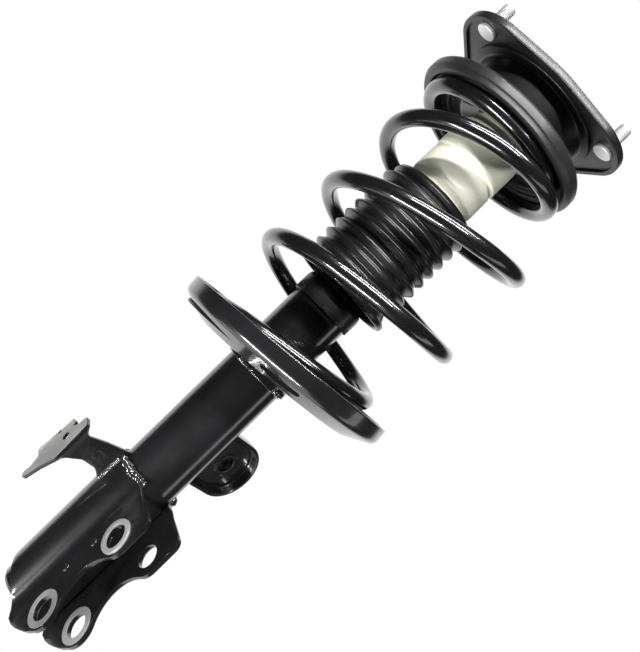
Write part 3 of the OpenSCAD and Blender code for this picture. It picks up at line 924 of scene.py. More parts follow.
@dataclass
class TopMount:
    """Three-lobed plate, rubber cup, rubber and threaded studs."""

    plate_t: float = 4.0
    edge_h: float = 6.0
    edge_wall: float = 4.0
    window_r: float = 39.0
    cup_flange_r: float = 57.5
    swell: float = 9.0
    pcd: float = 138.0
    lobe_reach: float = 14.5
    corner_r: float = 38.0
    stud_first: float = 27.0
    stud_r: float = 5.0
    head_r: float = 7.5
    head_h: float = 2.5
    stud_h: float = 20.0
    thread_pitch: float = 1.25
    thread_depth: float = 0.65

    @property
    def stud_places(self) -> list[Point2]:
        """Each stud's place in plan."""
        return arc(0, 0, self.pcd / 2, self.stud_first, self.stud_first + 240, 2)

    def outline(self, grow: float = 0.0) -> list[Point2]:
        """The plate's outline, anticlockwise."""
        points: list[Point2] = circle(0, 0, self.cup_flange_r + self.swell + grow, 180)
        reach = self.pcd / 2 + self.lobe_reach - self.corner_r
        for k in range(3):
            a = math.radians(self.stud_first + 120 * k)
            points += circle(reach * math.cos(a), reach * math.sin(a), self.corner_r + grow, 120)
        return hull_of(points)

    def stud(self) -> Shape:
        """One pressed stud with a rolled thread, its shoulder level with the plate's top face."""
        low, top = -self.plate_t - self.head_h, self.stud_h
        head = lathe(
            fillet([
                (0, low, 0), (self.head_r, low, 0.9), (self.head_r, -self.plate_t, 0.2),
                (5.5, -self.plate_t, 0), (5.5, -0.2, 0.1), (0, -0.2, 0),
            ]), 64,
        )
        steps, rings = 48, 150
        verts = []
        for z in np.linspace(-1.0, top, rings):
            for k in range(steps):
                phase = (z / self.thread_pitch - k / steps) % 1.0
                depth = self.thread_depth * min(1.0, max(0.0, (z - 2.0) / 1.5)) * abs(2 * phase - 1)
                tip = max(0.0, z - (top - 1.5)) * 0.75
                r = self.stud_r - depth - tip * 0.8
                a = TAU * k / steps
                verts.append((r * math.cos(a), r * math.sin(a), z))
        return head + Shape.loft(verts, steps)

    def build(self, shop: Workshop) -> None:
        """Builds the pieces of the mount."""
        face = self.outline(-1.0)
        holes = [list(reversed(circle(0, 0, self.window_r, 120)))]
        holes += [circle(x, y, self.stud_r + 0.5, 32) for x, y in self.stud_places]

        slab = level_sheet([face, *holes], self.plate_t, -self.plate_t / 2)
        section = fillet([
            (0, 0, 1.2), (self.edge_wall, 0, 0.1), (self.edge_wall, -self.plate_t - 0.1, 0),
            (self.edge_wall, -self.edge_h, 0.8), (0, -self.edge_h, 0.8),
        ], 4)
        lip = rail(inward(self.outline()), section, True)
        shop.piece("mount_plate_pressing", slab + lip, "satin", Body.MOUNT, "mount_plate", sharp=30)
        lip_z = -self.plate_t
        cup = fillet([
            (36, -28.5, 0.8), (46, -28.5, 4.5), (50.5, -6.5, 2.6), (57.5, -6.5, 0.8), (57.5, lip_z, 0.4),
            (48.2, lip_z, 3.0), (43.8, -26, 3.0), (36, -26, 0.8),
        ])
        shop.turned("mount_cup_pressing", cup, "satin", Body.MOUNT, "mount_cup")
        rubber = fillet([
            (23.5, -22, 0.5), (27, -22, 1.5), (31, -19.5, 2.5), (38, -20.5, 2.5), (43.6, -22, 1.0),
            (46.8, -9, 1.0), (42, -7, 2.0), (35, -10.5, 3.0), (28, -8.5, 2.5), (23.5, -7, 0.6),
        ])
        shop.turned("mount_rubber_ring", rubber, "rubber", Body.MOUNT, "mount_rubber")
        studs = Shape.joined(self.stud().moved(shift(x, y)) for x, y in self.stud_places)
        shop.piece("mount_stud_set", studs, "zinc", Body.MOUNT, "mount_studs", sharp=50)


@dataclass
class UpperSeat:
    """Swivelling spring seat with its moulded rubber insulator."""

    seat_t: float = 2.5
    hub_r: float = 28.0
    hub_z: float = -29.0
    flat_z: float = -36.0
    edge_r: float = 65.0
    rim_wall: float = 8.5
    rim_top: float = -34.0
    rim_low: float = -46.0
    pad_low: float = -42.0
    pad_in: float = 48.1

    def build(self, shop: Workshop) -> None:
        """Builds the seat and the insulator."""
        rim_r = outer_r("upper_insulator")
        inner = rim_r - self.rim_wall
        seat = fillet([
            (12, self.hub_z, 0.4), (self.hub_r, self.hub_z, 3.0), (40, self.flat_z, 3.0),
            (48, self.flat_z, 1.2), (50, self.flat_z - 0.5, 1.2), (58, self.flat_z - 0.5, 1.2),
            (60, self.flat_z, 1.2), (self.edge_r, self.flat_z, 0.8), (self.edge_r, self.flat_z - self.seat_t, 0.8),
            (39.0, self.flat_z - self.seat_t, 3.5), (27.0, self.hub_z - self.seat_t, 3.0),
            (12, self.hub_z - self.seat_t, 0.4),
        ])
        shop.turned("upper_seat_pressing", seat, "paint", Body.SWIVEL, "upper_spring_seat")
        pad_top = self.flat_z - self.seat_t
        pad = fillet([
            (self.pad_in, pad_top, 0.4), (self.edge_r + 0.5, pad_top, 0), (self.edge_r + 0.5, self.rim_top, 0.8),
            (rim_r - 1.6, self.rim_top, 1.6), (rim_r, self.rim_top - 2.6, 2.2), (rim_r, self.rim_low + 3.4, 3.2),
            (rim_r - 2.8, self.rim_low, 2.6), (inner + 1, self.rim_low, 1.6), (inner, self.pad_low, 2.2),
            (59.5, self.pad_low, 1.0), (57.8, self.pad_low + 0.8, 0.8), (56.0, self.pad_low + 0.8, 0.8),
            (54.5, self.pad_low, 1.0), (self.pad_in + 1.2, self.pad_low, 1.2),
        ])
        shop.turned("upper_insulator_ring", pad, "rubber", Body.SWIVEL, "upper_insulator", steps=192)


@dataclass
class CoilSpring:
    """Side-load spring: its middle turns swell, bow and lean to one side."""

    wire_r: float = 6.4
    turns: float = 5.0
    low_z: float = -276.0
    top_z: float = -48.7
    r_low: float = 66.5
    r_top: float = 58.5
    swell: float = 14.5
    bow: float = 14.5
    bow_angle: float = 57.0
    start: float = 39.0
    end_pitch: float = 2.0
    seat_lean: float = 6.0
    coil_lean: float = 12.0
    low_ramp: Point2 = (0.45, 0.95)
    top_ramp: Point2 = (3.7, 4.4)
    low_lean: Point2 = (0.6, 1.1)
    lean_middle: float = 3.2
    lean_span: float = 1.2
    rings: int = 480
    sides: int = 28

    @staticmethod
    def ramp(x: np.ndarray, a: float, b: float) -> np.ndarray:
        """Rises from 0 slope at a to slope 1 at b."""
        eased = (x - a) ** 2 / (2 * (b - a))
        return np.where(x <= a, 0.0, np.where(x < b, eased, x - (a + b) / 2))

    def active(self, x: np.ndarray) -> np.ndarray:
        """Active turns passed at turn count x."""
        return self.ramp(x, *self.low_ramp) - self.ramp(x, *self.top_ramp)

    def centre(self) -> np.ndarray:
        """Points along the wire's centre line."""
        x = np.linspace(0, self.turns, self.rings + 1)
        rise = self.top_z - self.low_z - self.end_pitch * self.turns
        pitch = rise / float(self.active(np.array([self.turns]))[0])
        z = self.low_z + self.end_pitch * x + pitch * self.active(x)
        wave = np.sin(np.pi * x / self.turns)
        r = self.r_low + (self.r_top - self.r_low) * x / self.turns + self.swell * wave**3
        seated = np.clip((self.low_lean[1] - x) / (self.low_lean[1] - self.low_lean[0]), 0, 1)
        near = np.abs(x - self.lean_middle) < self.lean_span
        upper = np.where(near, (1 + np.cos(np.pi * (x - self.lean_middle) / self.lean_span)) / 2, 0)
        lean = r * math.tan(math.radians(self.seat_lean)) * seated + self.coil_lean * upper
        a = np.radians(self.start + 360 * x)
        side = math.radians(self.bow_angle)
        bow = self.bow * wave**3
        return np.c_[
            r * np.cos(a) + bow * math.cos(side),
            r * np.sin(a) + bow * math.sin(side),
            z + lean * np.cos(a - side),
        ]

    def build(self, shop: Workshop) -> None:
        """Sweeps the wire."""
        t = NodeTree("spring_wire")
        radius = t.input("Wire radius", "NodeSocketFloat", self.wire_r * MM)
        sides = t.input("Sides", "NodeSocketInt", self.sides)
        curve = t.node("GeometryNodeMeshToCurve", {"Mesh": t.source.outputs["Geometry"]})
        level = t.node("GeometryNodeSetCurveNormal", {"Curve": curve})
        ring = t.node("GeometryNodeCurvePrimitiveCircle", {"Resolution": sides, "Radius": radius})
        swept = t.node("GeometryNodeCurveToMesh", {"Curve": level, "Profile Curve": ring, "Fill Caps": True})
        obj = line_object(shop, "spring_wire", [self.centre()])
        t.run(shop, obj, swept)
        shop.finish(obj, "spring_paint", Body.SWIVEL, "coil_spring", sharp=50)
        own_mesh(obj)


@dataclass
class BumpStop:
    """Foam bump stop with a neck, one soft groove and a stepped lower end."""

    r: float = 29.3
    bore: float = 10.5
    top: float = -47.0
    low: float = -125.0
    neck_r: float = 25.0
    neck_top: float = -38.5

    def build(self, shop: Workshop) -> None:
        """Builds the stop."""
        groove = self.top - 0.385 * (self.top - self.low)
        profile = fillet([
            (self.bore, -32.5, 0.6), (20, -32.5, 1.2), (20, self.neck_top, 1.0), (self.neck_r, self.neck_top, 1.6),
            (self.neck_r, self.top, 1.2), (self.r - 0.6, self.top, 2.4), (self.r, self.top - 4, 2.0),
            (self.r, groove + 2.6, 1.4), (self.r - 1.5, groove + 0.6, 1.0), (self.r - 1.5, groove - 0.6, 1.0),
            (self.r - 0.3, groove - 2.6, 1.4), (self.r, -100, 4.0), (self.r - 3.5, -105, 3.0),
            (self.r - 1.2, -110, 3.0), (self.r - 4.5, -118, 3.0), (self.r - 10.5, self.low, 2.5),
            (self.bore, self.low, 1.0),
        ], 7)
        obj = shop.turned("bump_stop_foam", profile, "foam", Body.SWIVEL, "bump_stop", steps=160)
        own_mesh(obj)


@dataclass
class DustBoot:
    """Convoluted rubber boot with a collar and a flared skirt."""

    top: float = -108.0
    low: float = -208.0
    tip_r: float = 42.0
    valley_r: float = 36.0
    wall: float = 1.6
    folds: int = 8
    collar_r: float = 38.0
    collar_in: float = 29.3
    collar_h: float = 7.0
    skirt_h: float = 12.0

    def build(self, shop: Workshop) -> None:
        """Builds the boot."""
        start = self.top - self.collar_h
        end = self.low + self.skirt_h
        pitch = (start - end) / self.folds
        outer: list[tuple[float, float, float]] = []
        for k in range(self.folds):
            z = start - k * pitch
            outer += [(self.valley_r, z, 1.6), (self.tip_r, z - pitch * 0.5, 1.9)]
        outer.append((self.valley_r, end, 1.6))
        inner = [(r - self.wall, z, rad) for r, z, rad in outer]
        profile = [
            (self.collar_in, self.top, 0.6), (self.collar_r - 1.5, self.top, 1.4),
            (self.collar_r, self.top - 3.4, 1.6), (self.collar_r - 1.6, start, 0.8),
            *outer,
            (self.tip_r - 2.5, self.low + 5.5, 2.0), (self.tip_r, self.low + 4.4, 1.8), (self.tip_r, self.low, 2.0),
            (self.tip_r - 4.4, self.low, 1.8), (self.tip_r - 4.4, self.low + 3.0, 1.0),
            (self.valley_r - 1.0, end - 2.0, 1.2),
            *reversed(inner),
            (self.collar_in, start, 0.8),
        ]
        obj = shop.turned("dust_boot_bellows", fillet(profile, 6), "boot", Body.SWIVEL, "dust_boot", steps=160)
        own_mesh(obj)


@dataclass
class Damper:
    """Reserve tube with its base, and the cap that the bump stop lands on."""

    wall: float = 2.0
    cap_gap: float = 0.05
    cap_r: float = 26.2
    tab_count: int = 6

    def build(self, shop: Workshop) -> None:
        """Builds the tube, its base and the cap."""
        low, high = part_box("strut_tube")
        r, z0, z1 = high.x / MM, low.z / MM, high.z / MM
        inner = r - self.wall
        tube = fillet([
            (inner, z0, 0.3), (r - 1.0, z0, 0.8), (r, z0 + 2.5, 1.2), (r, z1 - 4, 1.2), (r - 0.4, z1, 0.3),
            (inner, z1, 0.3),
        ])
        shop.turned("strut_tube_shell", tube, "paint", Body.STRUT, "strut_tube", steps=192)
        base = fillet([
            (0, z0 + 2.4, 0), (9, z0 + 2.4, 2.0), (12, z0 + 0.4, 2.0), (inner - 1.5, z0 + 0.4, 0.8),
            (inner, z0 + 1.2, 0.5), (inner, z0 + 3, 0.3), (0, z0 + 3, 0),
        ])
        shop.turned("strut_base_disc", base, "paint", Body.STRUT, "base_cap")
        top = z1 + 10
        bottom = z1 - 8
        rod_r = outer_r("piston_rod")
        cap = fillet([
            (rod_r + 0.8, top, 0.5), (16, top, 1.0), (18, top - 0.8, 1.0), (self.cap_r - 1, top - 0.8, 3.2),
            (self.cap_r, top - 5, 1.0), (self.cap_r, bottom, 0.5), (r + self.cap_gap, bottom, 0.3),
            (r + self.cap_gap, z1, 0.3), (inner - 1, z1, 0.5), (inner - 1, top - 2.2, 1.2),
            (rod_r + 0.8, top - 2.2, 0.4),
        ])
        shape = lathe(cap, 144)
        tab = rail(
            inward([(-3.2, 0), (3.2, 0), (3.2, 5.0), (-3.2, 5.0)]),
            [(0, -0.9), (0, 0.6), (0.7, 1.3), (1.6, 1.3), (1.6, -0.9)], True,
        ) + lathe(fillet([(0, -0.9, 0), (1.9, -0.9, 0), (1.9, 1.3, 0.3), (0, 1.3, 0)]), 24).moved(shift(0, 2.5))
        stand = shift(self.cap_r - 0.4, 0, bottom) @ spin(90, "Y") @ spin(90)
        step = 360 / self.tab_count
        tabs = [tab.moved(spin(step * (k + 0.5)) @ stand) for k in range(self.tab_count)]
        shop.piece("bump_cap_pressing", Shape.joined([shape, *tabs]), "satin", Body.STRUT, "bump_cap")


@dataclass
class LowerSeat:
    """Leaning, offset spring pan with its collar, pocket, drain slots and insulator."""

    offset: float = 10.0
    angle: float = 57.0
    lean: float = 6.0
    thick: float = 3.0
    floor_z: float = -285.5
    rim_top: float = -266.0
    rim_low: float = -279.0
    floor_r: float = 68.0
    rim_r: float = 90.5
    pad_in: float = 57.1
    pad_out: float = 74.4
    collar_r: float = 27.5
    collar_low: float = -295.5
    window_angles: tuple[float, ...] = (305.0, 25.0)
    slots: tuple[tuple[float, ...], ...] = (
        (205, 74, 0.01, 5, 22), (222, 66, 16, 6, 22), (330, 78, 26, 7, 26), (60, 66, 16, 6, 22), (140, 66, 16, 6, 22),
    )

    @property
    def leaned(self) -> Matrix:
        """The seat's lean, about the point where its floor meets the axis."""
        side = math.radians(self.angle)
        axis = Vector((math.sin(side), -math.cos(side), 0))
        up = shift(0, 0, self.floor_z)
        return up @ spin(self.lean, axis) @ up.inverted()

    @property
    def pan_place(self) -> Matrix:
        """Where the pan's own axis stands."""
        side = math.radians(self.angle)
        return self.leaned @ shift(self.offset * math.cos(side), self.offset * math.sin(side))

    def slot_cutter(self, angle: float, r: float, length: float, width: float, height: float) -> Shape:
        """A slot-shaped prism across the floor, its middle at an angle and a distance from the pan's axis."""
        loop = arc(0, length / 2, width / 2, 0, 180, 12) + arc(0, -length / 2, width / 2, 180, 360, 12)
        return prism(loop, height).moved(self.pan_place @ spin(angle) @ shift(r, 0, self.floor_z))

    def build(self, shop: Workshop) -> None:
        """Builds the pan, the collar and the insulator."""
        tube_r = outer_r("strut_tube")
        rim_r, t = self.rim_r, self.thick
        floor, under = self.floor_z, self.floor_z - self.thick
        pan = fillet([
            (tube_r - self.offset + 6, floor, 0), (44, floor, 2.5), (46, floor + 0.8, 2.0), (58, floor + 0.8, 2.0),
            (60, floor, 2.0), (self.floor_r, floor, 5.0), (rim_r - t, self.rim_low + 1.5, 5.0),
            (rim_r - t, self.rim_top, 1.2), (rim_r - 0.2, self.rim_top, 1.4), (rim_r, self.rim_low, 7.0),
            (self.floor_r + 1, under, 6.0), (61, under, 2.0), (59, under + 0.8, 2.0), (47, under + 0.8, 2.0),
            (45, under, 2.5), (tube_r - self.offset + 6, under, 0),
        ], 8)
        obj = shop.mesh_object("lower_seat_pan", lathe(pan, 192).moved(self.pan_place))
        bore = lathe([(0, -340), (tube_r + 0.02, -340), (tube_r + 0.02, -240), (0, -240)], 96)
        slots = [self.slot_cutter(*slot) for slot in self.slots]
        shop.carve(obj, [bore, *slots])
        section = fillet([
            (tube_r, self.collar_low, 0.3), (self.collar_r, self.collar_low, 1.0),
            (self.collar_r, floor - 4.2, 0), (self.collar_r + 2.2, under + 0.2, 0), (tube_r, under + 0.2, 0),
        ])
        collar = shop.mesh_object("collar", lathe(section, 120))
        x, y, z = tube_r + 2.5, 7.5, self.collar_low + 1.5
        window = prism([(x - 5.5, -y), (x + 5.5, -y), (x + 5.5, y), (x - 5.5, y)], 6).moved(shift(0, 0, z))
        windows = [window.moved(spin(a)) for a in self.window_angles]
        shop.carve(collar, windows)
        shop.join(obj, collar)
        shop.finish(obj, "paint", Body.STRUT, "lower_spring_seat", sharp=32)
        runs = [level_ring(tube_r + 1.0, self.collar_low + 1.6, a - 19, a + 19) for a in self.window_angles]
        WeldBead("lower_seat_welds", runs, width=2.0, step=1.7, scatter=0.7, seed=11).build(shop, Body.STRUT)
        middle = (self.pad_in + self.pad_out) / 2
        ring = fillet([
            (self.pad_in, floor + 0.9, 0.3), (self.pad_out, floor + 0.9, 0.5), (self.pad_out, floor + 2.8, 0.8),
            (middle + 4, floor + 2.8, 0.8), (middle, floor + 2.2, 2.0), (middle - 4, floor + 2.8, 0.8),
            (self.pad_in, floor + 2.8, 0.8),
        ])
        pad = lathe(ring, 160).moved(self.leaned)
        shop.piece("lower_insulator_ring", pad, "rubber", Body.STRUT, "lower_insulator")


@dataclass
class KnuckleBracket:
    """Sheet wrapped round the tube and folded out into two bored ears."""

    thick: float = 3.5
    ear_out: float = 16.8
    reach: float = 50.0
    lobe_r: float = 15.0
    top: float = -406.0
    low: float = -532.0
    back_low: float = -505.0
    back_half: float = 73.0
    bolt_top: float = -434.5
    bolt_low: float = -502.0
    hole_r: float = 8.5
    neck_x: float = 79.76
    neck_r: float = 30.0
    pad_r: float = 13.0
    pad_h: float = 1.5
    joggle: float = 7.0
    x_end: float = 70.0

    def plan(self, r_mid: float) -> list[Point2]:
        """The sheet's middle line in plan, from the far ear round the back to the near ear."""
        y = self.ear_out - self.thick / 2
        corner = math.degrees(math.asin(y / r_mid))
        cx = r_mid * math.cos(math.radians(corner))
        turn = math.degrees(self.joggle / r_mid)
        far = [(x, y) for x in np.linspace(self.x_end, cx + self.joggle, 8)]
        landing = arc(0, 0, r_mid, corner + turn, corner + turn, 1)[0]
        bend = bezier((cx + self.joggle, y), (cx, y), landing, np.linspace(0.08, 0.92, 12))
        half = far + bend + arc(0, 0, r_mid, corner + turn, 180, 60)
        return half + [(x, -v) for x, v in reversed(half[:-1])]

    def land(self, r: float, h: float) -> list[Point2]:
        """Section of a raised ring round a bolt hole, of outer radius r and height h."""
        return fillet([
            (self.hole_r, -0.8, 0), (r, -0.8, 0), (r - 0.3 * h, h, 0.5 * h), (self.hole_r + 0.3 * h, h, 0.5 * h),
        ])

    def ear_edge(self) -> list[Point2]:
        """The ear's free edge from its top corner to its bottom corner, as (x, z)."""
        tip = self.reach + self.lobe_r
        blend = math.degrees(math.acos((self.neck_x - self.reach) / (self.lobe_r + self.neck_r)))
        corner = arc(tip - 7, self.bolt_top + 19, 7, 90, 0, 8)
        upper = arc(self.reach, self.bolt_top, self.lobe_r, 0, -blend, 12)
        neck = arc(self.neck_x, (self.bolt_top + self.bolt_low) / 2, self.neck_r, 180 - blend, 180 + blend, 20)
        lower = arc(self.reach, self.bolt_low, self.lobe_r, blend, -52, 16)
        foot = [(55, -518.5), (48.5, -523.5), (44, -526.5), (38, -529.5), (30, self.low + 0.6)]
        return [(28, self.top), (36, self.top - 1.2), *corner, *upper, *neck[1:-1], *lower, *foot]

    def build(self, shop: Workshop) -> None:
        """Builds the bracket, its pads, its stamped spots and its weld."""
        wrap_r = -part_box("knuckle_bracket")[0].x / MM
        tube_r = outer_r("strut_tube")
        r_mid = (wrap_r + tube_r) / 2
        bender = Bender(self.plan(r_mid))
        total = float(bender.along[-1])

        def near(x: float) -> float:
            """Distance along the sheet of a place on the near ear."""
            return total - (self.x_end - x)

        edge = [(near(x), z) for x, z in self.ear_edge()]
        other = [(total - s, z) for s, z in reversed(edge)]
        drop = self.back_low - self.low - 0.6
        back = [
            (total / 2 + t, self.back_low - drop * (t / self.back_half) ** 2)
            for t in np.linspace(self.back_half - 2, 2 - self.back_half, 25)
        ]
        loop = edge + back + other
        place = near(self.reach)
        centres = [(s, z) for z in (self.bolt_top, self.bolt_low) for s in (place, total - place)]
        holes = [circle(*centre, self.hole_r, 40) for centre in centres]
        bends = [float(s) for s in bender.along[6:-6]]
        body = sheet([loop, *holes], self.thick, bends, bender.place)
        obj = shop.mesh_object("knuckle_bracket_sheet", body)
        shop.bevel(obj, 0.7, 50, 3)
        spots, pads = [], []
        spot = lathe(fillet([(0, -0.6, 0), (3.2, -0.6, 0), (2.6, 0.7, 0.7), (1.4, 0.2, 0.6), (0, 0.1, 0)]), 40)
        pad, flat = (lathe(self.land(r, h), 72) for r, h in ((self.pad_r, self.pad_h), (self.lobe_r - 1.6, 0.35)))
        for side in (-1, 1):
            out = spin(-90 * side, "X")
            face, back_face = side * self.ear_out, side * (self.ear_out - self.thick)
            spots += [spot.moved(shift(x, face, z) @ out) for x, z in ((36, -452), (34, -478))]
            pads += [
                pad.moved(shift(self.reach, face, self.bolt_top) @ out),
                flat.moved(shift(self.reach, face, self.bolt_low) @ out),
                flat.moved(shift(self.reach, back_face, self.bolt_low) @ out @ spin(180, "X")),
            ]
        shop.join(obj, shop.mesh_object("spots", Shape.joined(spots)))
        shop.finish(obj, "paint", Body.STRUT, "knuckle_bracket", sharp=34)
        # The lands are painted lighter grey as a painted reflection of the light on the ears' flat faces. The raised
        # ring round each upper hole is real shape; the thin flats round the lower holes are laid on only to carry the
        # painted reflection.
        shop.piece("knuckle_bracket_reflection_lands", Shape.joined(pads), "painted_reflection_grey", Body.STRUT, sharp=34)
        runs = [level_ring(tube_r + 0.8, self.top + 0.4, a, b) for a, b in ((195, 330), (60, 150))]
        WeldBead("knuckle_welds", runs, width=3.2, step=2.1, scatter=0.7, seed=5).build(shop, Body.STRUT)


@dataclass
class StabilizerTab:
    """Pressed, dished tab for the stabilizer link."""

    angle: float = 105.0
    reach: float = 51.0
    z: float = -365.0
    half: float = 26.0
    thick: float = 4.0
    flange: float = 8.0
    flange_t: float = 3.0
    hole_r: float = 6.2

    def build(self, shop: Workshop) -> None:
        """Builds the tab and the welds along its root."""
        tube_r = outer_r("strut_tube")
        start = tube_r - 1.2
        half = self.thick / 2

        def edge(inset: float) -> list[Point2]:
            """The tab's D outline, drawn clockwise from the upper root, set in by inset."""
            r = self.half - inset
            return [(start, r), (start + 9, r), *arc(self.reach, 0, r, 90, -90, 40), (start + 9, -r), (start, -r)]

        web = level_sheet([edge(2.6), circle(self.reach, 0, self.hole_r, 48)], self.thick)
        path = [(p, (q[0] - p[0], q[1] - p[1])) for p, q in zip(edge(0), edge(1))]
        section = fillet([
            (5.0, -half, 0), (0.2, -half, 3.2), (0, half + 2, 0.5), (0, half + self.flange, 1.2),
            (self.flange_t, half + self.flange, 1.2), (self.flange_t, half + 1.2, 1.4), (6.0, half, 0.4),
        ], 6)
        lip = rail(path, section, False)
        boss = lathe(
            fillet([
                (self.hole_r, -half - 9.0, 0.5), (self.hole_r, half + 0.7, 0.4), (9.5, half + 0.7, 0.9),
                (11.0, half - 0.2, 0.2), (8.6, -half - 0.5, 1.5), (8.2, -half - 9.0, 0.6),
            ]), 64,
        ).moved(shift(self.reach, 0))
        a = math.radians(self.angle)
        along = Vector((math.cos(a), math.sin(a), 0))
        normal = Vector((math.sin(a), -math.cos(a), 0))
        stand = axes(along, Vector((0, 0, 1)), normal, Vector((0, 0, self.z)))
        pressing = (web + lip + boss).moved(stand)
        shop.piece("stabilizer_tab_pressing", pressing, "paint", Body.STRUT, "stabilizer_tab", sharp=34)
        runs = []
        for side in (-1, 1):
            foot = [(tube_r + 0.4, v, side * (half + 0.3)) for v in np.linspace(-self.half + 3, self.half - 3, 20)]
            runs.append(Shape(np.array(foot), []).moved(stand).verts)
        WeldBead("stabilizer_tab_welds", runs, width=2.4, step=1.6, scatter=0.25, seed=8).build(shop, Body.STRUT)


@dataclass
class HoseBracket:
    """Bent sheet bracket for the brake hose and the sensor cable."""

    thick: float = 2.5
    top: float = -406.0
    blade_y: float = -60.25
    arm_x: float = -3.25
    far_x: float = -36.0
    root_y: float = -26.5
    bend: float = 4.5
    hole: Point2 = (16.0, -16.0)
    hole_r: float = 3.3
    corners: tuple[tuple[float, float, float], ...] = (
        (67, 7, 0.5), (62.5, 6, 2), (48, 3, 4), (34, -1, 4), (26, 3, 3), (17, 5, 2.5), (16, -4, 2),
        (11, -9, 2), (10, -5, 1.5), (4, -6, 2), (4, -12, 3), (0, -41, 2.5), (8, -42, 3), (11, -51, 3),
        (10, -58, 2), (15, -59, 2), (21, -44, 6), (29, -30, 6), (34, -22, 5), (43, -17, 5), (55, -17, 5),
        (62.5, -22, 3), (67, -24, 0.5),
    )

    def build(self, shop: Workshop) -> None:
        """Builds the bracket and the weld at its root."""
        b = self.bend
        x, y = self.arm_x, self.blade_y
        blade = [(v, y) for v in np.linspace(self.far_x - 4, x - b, 12)]
        turn = bezier((x - b, y), (x, y), (x, y + b), np.linspace(0.06, 0.94, 10))
        arm = [(x, v) for v in np.linspace(y + b, self.root_y + 4, 12)]
        bender = Bender(blade + turn + arm)
        loop = [(s + 4, h + self.top) for s, h in fillet(self.corners, 4)]
        hole = circle(self.hole[0] + 4, self.hole[1] + self.top, self.hole_r, 32)
        small = circle(8, self.top - 20, 1.7, 20)
        bends = [float(s) for s in bender.along[8:26]]
        obj = shop.mesh_object("hose_bracket_sheet", sheet([loop, hole, small], self.thick, bends, bender.place))
        shop.bevel(obj, 0.5, 50, 2)
        shop.finish(obj, "paint", Body.STRUT, "hose_bracket", sharp=34)
        # A thin sheet laid on the blade's face and painted lighter grey, as a painted reflection of the light on the
        # flat blade.
        face = [(s * 0.96 + 4.5, h * 0.98 + self.top - 0.3) for s, h in fillet(self.corners, 4) if s < 29.5]
        land = sheet([face, hole, small], 0.3, [], lambda s, z, side: bender.place(s, z, side + self.thick / 2))
        shop.piece("hose_bracket_reflection_face", land, "painted_reflection_grey", Body.STRUT, sharp=34)
        runs = [
            np.array([(x + side * 1.6, self.root_y - 1.6, z) for z in np.linspace(self.top - 21, self.top - 2, 14)])
            for side in (-1, 1)
        ]
        WeldBead("hose_bracket_welds", runs, width=1.9, step=1.5, scatter=0.35, seed=21).build(shop, Body.STRUT)


@dataclass
class CarriedNodes:
    """CAD nodes that are shown as they are, each with its finish."""

    finishes: tuple[tuple[str, str], ...] = (
        ("bearing_housing", "bare"), ("bearing_outer_race", "bare"), ("bearing_inner_race", "bare"),
        ("bearing_seals", "rubber"), ("bearing_cage", "nylon"), ("bearing_balls", "chrome"),
        ("rod_nut", "zinc"), ("rod_washer", "zinc"), ("seat_spacer", "bare"), ("piston_rod", "chrome"),
        ("rebound_stop", "bare"), ("piston", "iron"), ("piston_band", "seal"), ("piston_valve_discs", "bare"),
        ("piston_nut", "zinc"), ("pressure_tube", "bare"), ("base_valve", "iron"), ("base_valve_discs", "bare"),
        ("rod_guide", "iron"), ("guide_bush", "bronze"), ("oil_seal", "rubber"), ("bracket_brace", "paint"),
    )

    def build(self, shop: Workshop) -> None:
        """Paints every carried node."""
        for name, finish in self.finishes:
            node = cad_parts[name]
            node.data.materials.clear()
            node.data.materials.append(shop.palette.get(finish))
            log.info("%-26s carried over in %s", name, finish)


# ---------------------------------------------------------------- studio


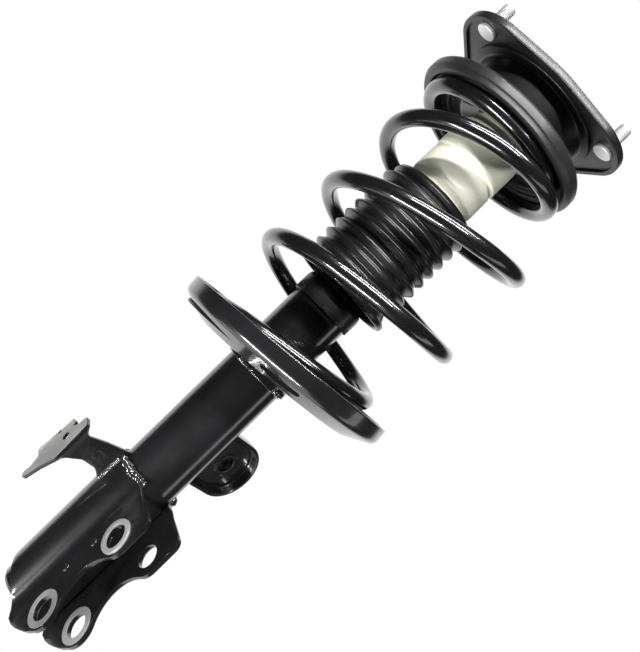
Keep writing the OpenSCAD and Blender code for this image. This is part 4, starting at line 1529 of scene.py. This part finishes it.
@dataclass
class Studio:
    """Floor, world, lights and camera."""

    floor_drop: float = 0.30
    floor_r: float = 0.42
    lens_mm: float = 40.58
    distance: float = 0.551
    eye_z: float = -0.259
    aim_z: float = -0.236
    aim_right: float = 0.0082
    roll: float = 44.26
    lit_z: float = -0.26
    dark_to: float = 0.50
    light_from: float = 0.72
    dark: float = 0.02
    light: float = 1.15

    @property
    def to_camera(self) -> Vector:
        """Level direction from the damper axis to the camera."""
        a = math.radians(VIEW_AZIMUTH)
        return Vector((math.sin(a), -math.cos(a), 0))

    @property
    def right(self) -> Vector:
        """Level direction to the viewer's right of an upright strut."""
        a = math.radians(VIEW_AZIMUTH)
        return Vector((math.cos(a), math.sin(a), 0))

    def camera(self) -> None:
        """Sets the camera where the strut is seen lying across the view's diagonal."""
        data = bpy.data.cameras.new("camera")
        data.lens, data.sensor_width, data.sensor_fit = self.lens_mm, 36.0, "AUTO"
        data.clip_start, data.clip_end = 0.01, 20.0
        cam = linked("camera", data)
        place = Vector((0, 0, self.eye_z)) + self.distance * self.to_camera
        target = Vector((0, 0, self.aim_z)) + self.aim_right * self.right
        d = (target - place).normalized()
        side = d.cross(Vector((0, 0, 1))).normalized()
        up = side.cross(d)
        a = math.radians(self.roll)
        x = math.cos(a) * up + math.sin(a) * side
        y = math.sin(a) * up - math.cos(a) * side
        cam.matrix_world = axes(x, y, -d, place)
        bpy.context.scene.camera = cam

    def area(self, name: str, direction: Vector, reach: float, size: Point2, glow: float, along: Vector) -> None:
        """Adds an area light that faces the strut.

        Args:
            name: the light's name.
            direction: direction from the strut's middle.
            reach: distance in metres.
            size: length along and width across, in metres.
            glow: its radiance.
            along: direction that its length lies in.
        """
        data = bpy.data.lights.new(name, "AREA")
        data.shape, data.size, data.size_y = "RECTANGLE", size[0], size[1]
        data.energy = glow * math.pi * size[0] * size[1]
        light = linked(name, data)
        z = direction.normalized()
        x = (along - along.dot(z) * z).normalized()
        y = z.cross(x)
        light.matrix_world = axes(x, y, z, Vector((0, 0, self.lit_z)) + reach * z)

    def world(self) -> None:
        """White to the eye; to the strut, white behind and to the left, and dark on the camera's side."""
        world = bpy.data.worlds.new("studio")
        world.use_nodes = True
        bpy.context.scene.world = world
        tree = world.node_tree
        tree.nodes.clear()
        away = -self.to_camera - 0.12 * self.right
        coords = add_node(tree, "ShaderNodeTexCoord", {}).outputs["Generated"]
        dot = add_node(tree, "ShaderNodeVectorMath", {0: coords, 1: away.normalized()}, operation="DOT_PRODUCT")
        edges = {
            "Value": dot.outputs["Value"],
            "From Min": self.dark_to, "From Max": self.light_from, "To Min": self.dark, "To Max": self.light,
        }
        ramp = add_node(tree, "ShaderNodeMapRange", edges, interpolation_type="SMOOTHSTEP")
        lit = add_node(tree, "ShaderNodeBackground", {"Strength": ramp.outputs[0]})
        shown = add_node(tree, "ShaderNodeBackground", {"Color": (1, 1, 1, 1)})
        seen = add_node(tree, "ShaderNodeLightPath", {}).outputs["Is Camera Ray"]
        choose = add_node(tree, "ShaderNodeMixShader", {0: seen, 1: lit.outputs[0], 2: shown.outputs[0]})
        add_node(tree, "ShaderNodeOutputWorld", {"Surface": choose.outputs[0]})

    def build(self, shop: Workshop) -> None:
        """Builds the studio."""
        up = Vector((0, 0, 1))
        c, r = self.to_camera, self.right
        for name, toward, above, across, reach, size, glow, along in (
            ("strip_high", 0.5, 1, -0.1, 1.15, (1.2, 0.05), 70.0, r),
            ("strip_middle", 1, 0.75, -0.1, 1.15, (1.2, 0.04), 130.0, r),
            ("strip_foot", 0.8, -1, -0.1, 1.15, (1.2, 0.04), 180.0, r),
            ("right_panel", 0.05, -0.2, 1, 1.3, (1.0, 0.3), 1.2, up),
        ):
            self.area(name, toward * c + above * up + across * r, reach, size, glow, along)
        top = (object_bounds()[0].z - self.floor_drop) / MM
        r_mm = self.floor_r / MM
        disc = lathe(fillet([(0, top - 8, 0), (r_mm, top - 8, 3), (r_mm, top, 3), (0, top, 0)]), 128)
        floor = shop.mesh_object("studio_floor", disc)
        floor.data.materials.append(self.floor_material())
        floor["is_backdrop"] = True
        self.world()
        self.camera()
        bpy.context.scene.view_settings.view_transform = "Standard"

    @staticmethod
    def floor_material() -> bpy.types.Material:
        """A plain pale floor."""
        g = Graph("pale_floor")
        g.surface(Base_Color=(0.86, 0.86, 0.86, 1), Roughness=0.6)
        return g.material


def main() -> None:
    """Builds every sub-assembly and the studio."""
    logging.basicConfig(level=logging.INFO, format="%(message)s")
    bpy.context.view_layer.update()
    shop = Workshop(Palette())
    parts = (
        TopMount(), UpperSeat(), CoilSpring(), BumpStop(), DustBoot(), Damper(), LowerSeat(),
        KnuckleBracket(), StabilizerTab(), HoseBracket(), CarriedNodes(),
    )
    for part in parts:
        log.info("building %s", type(part).__name__)
        part.build(shop)
    Studio().build(shop)
    log.info("%d pieces", shop.count)


if __name__ == "__main__":
    main()
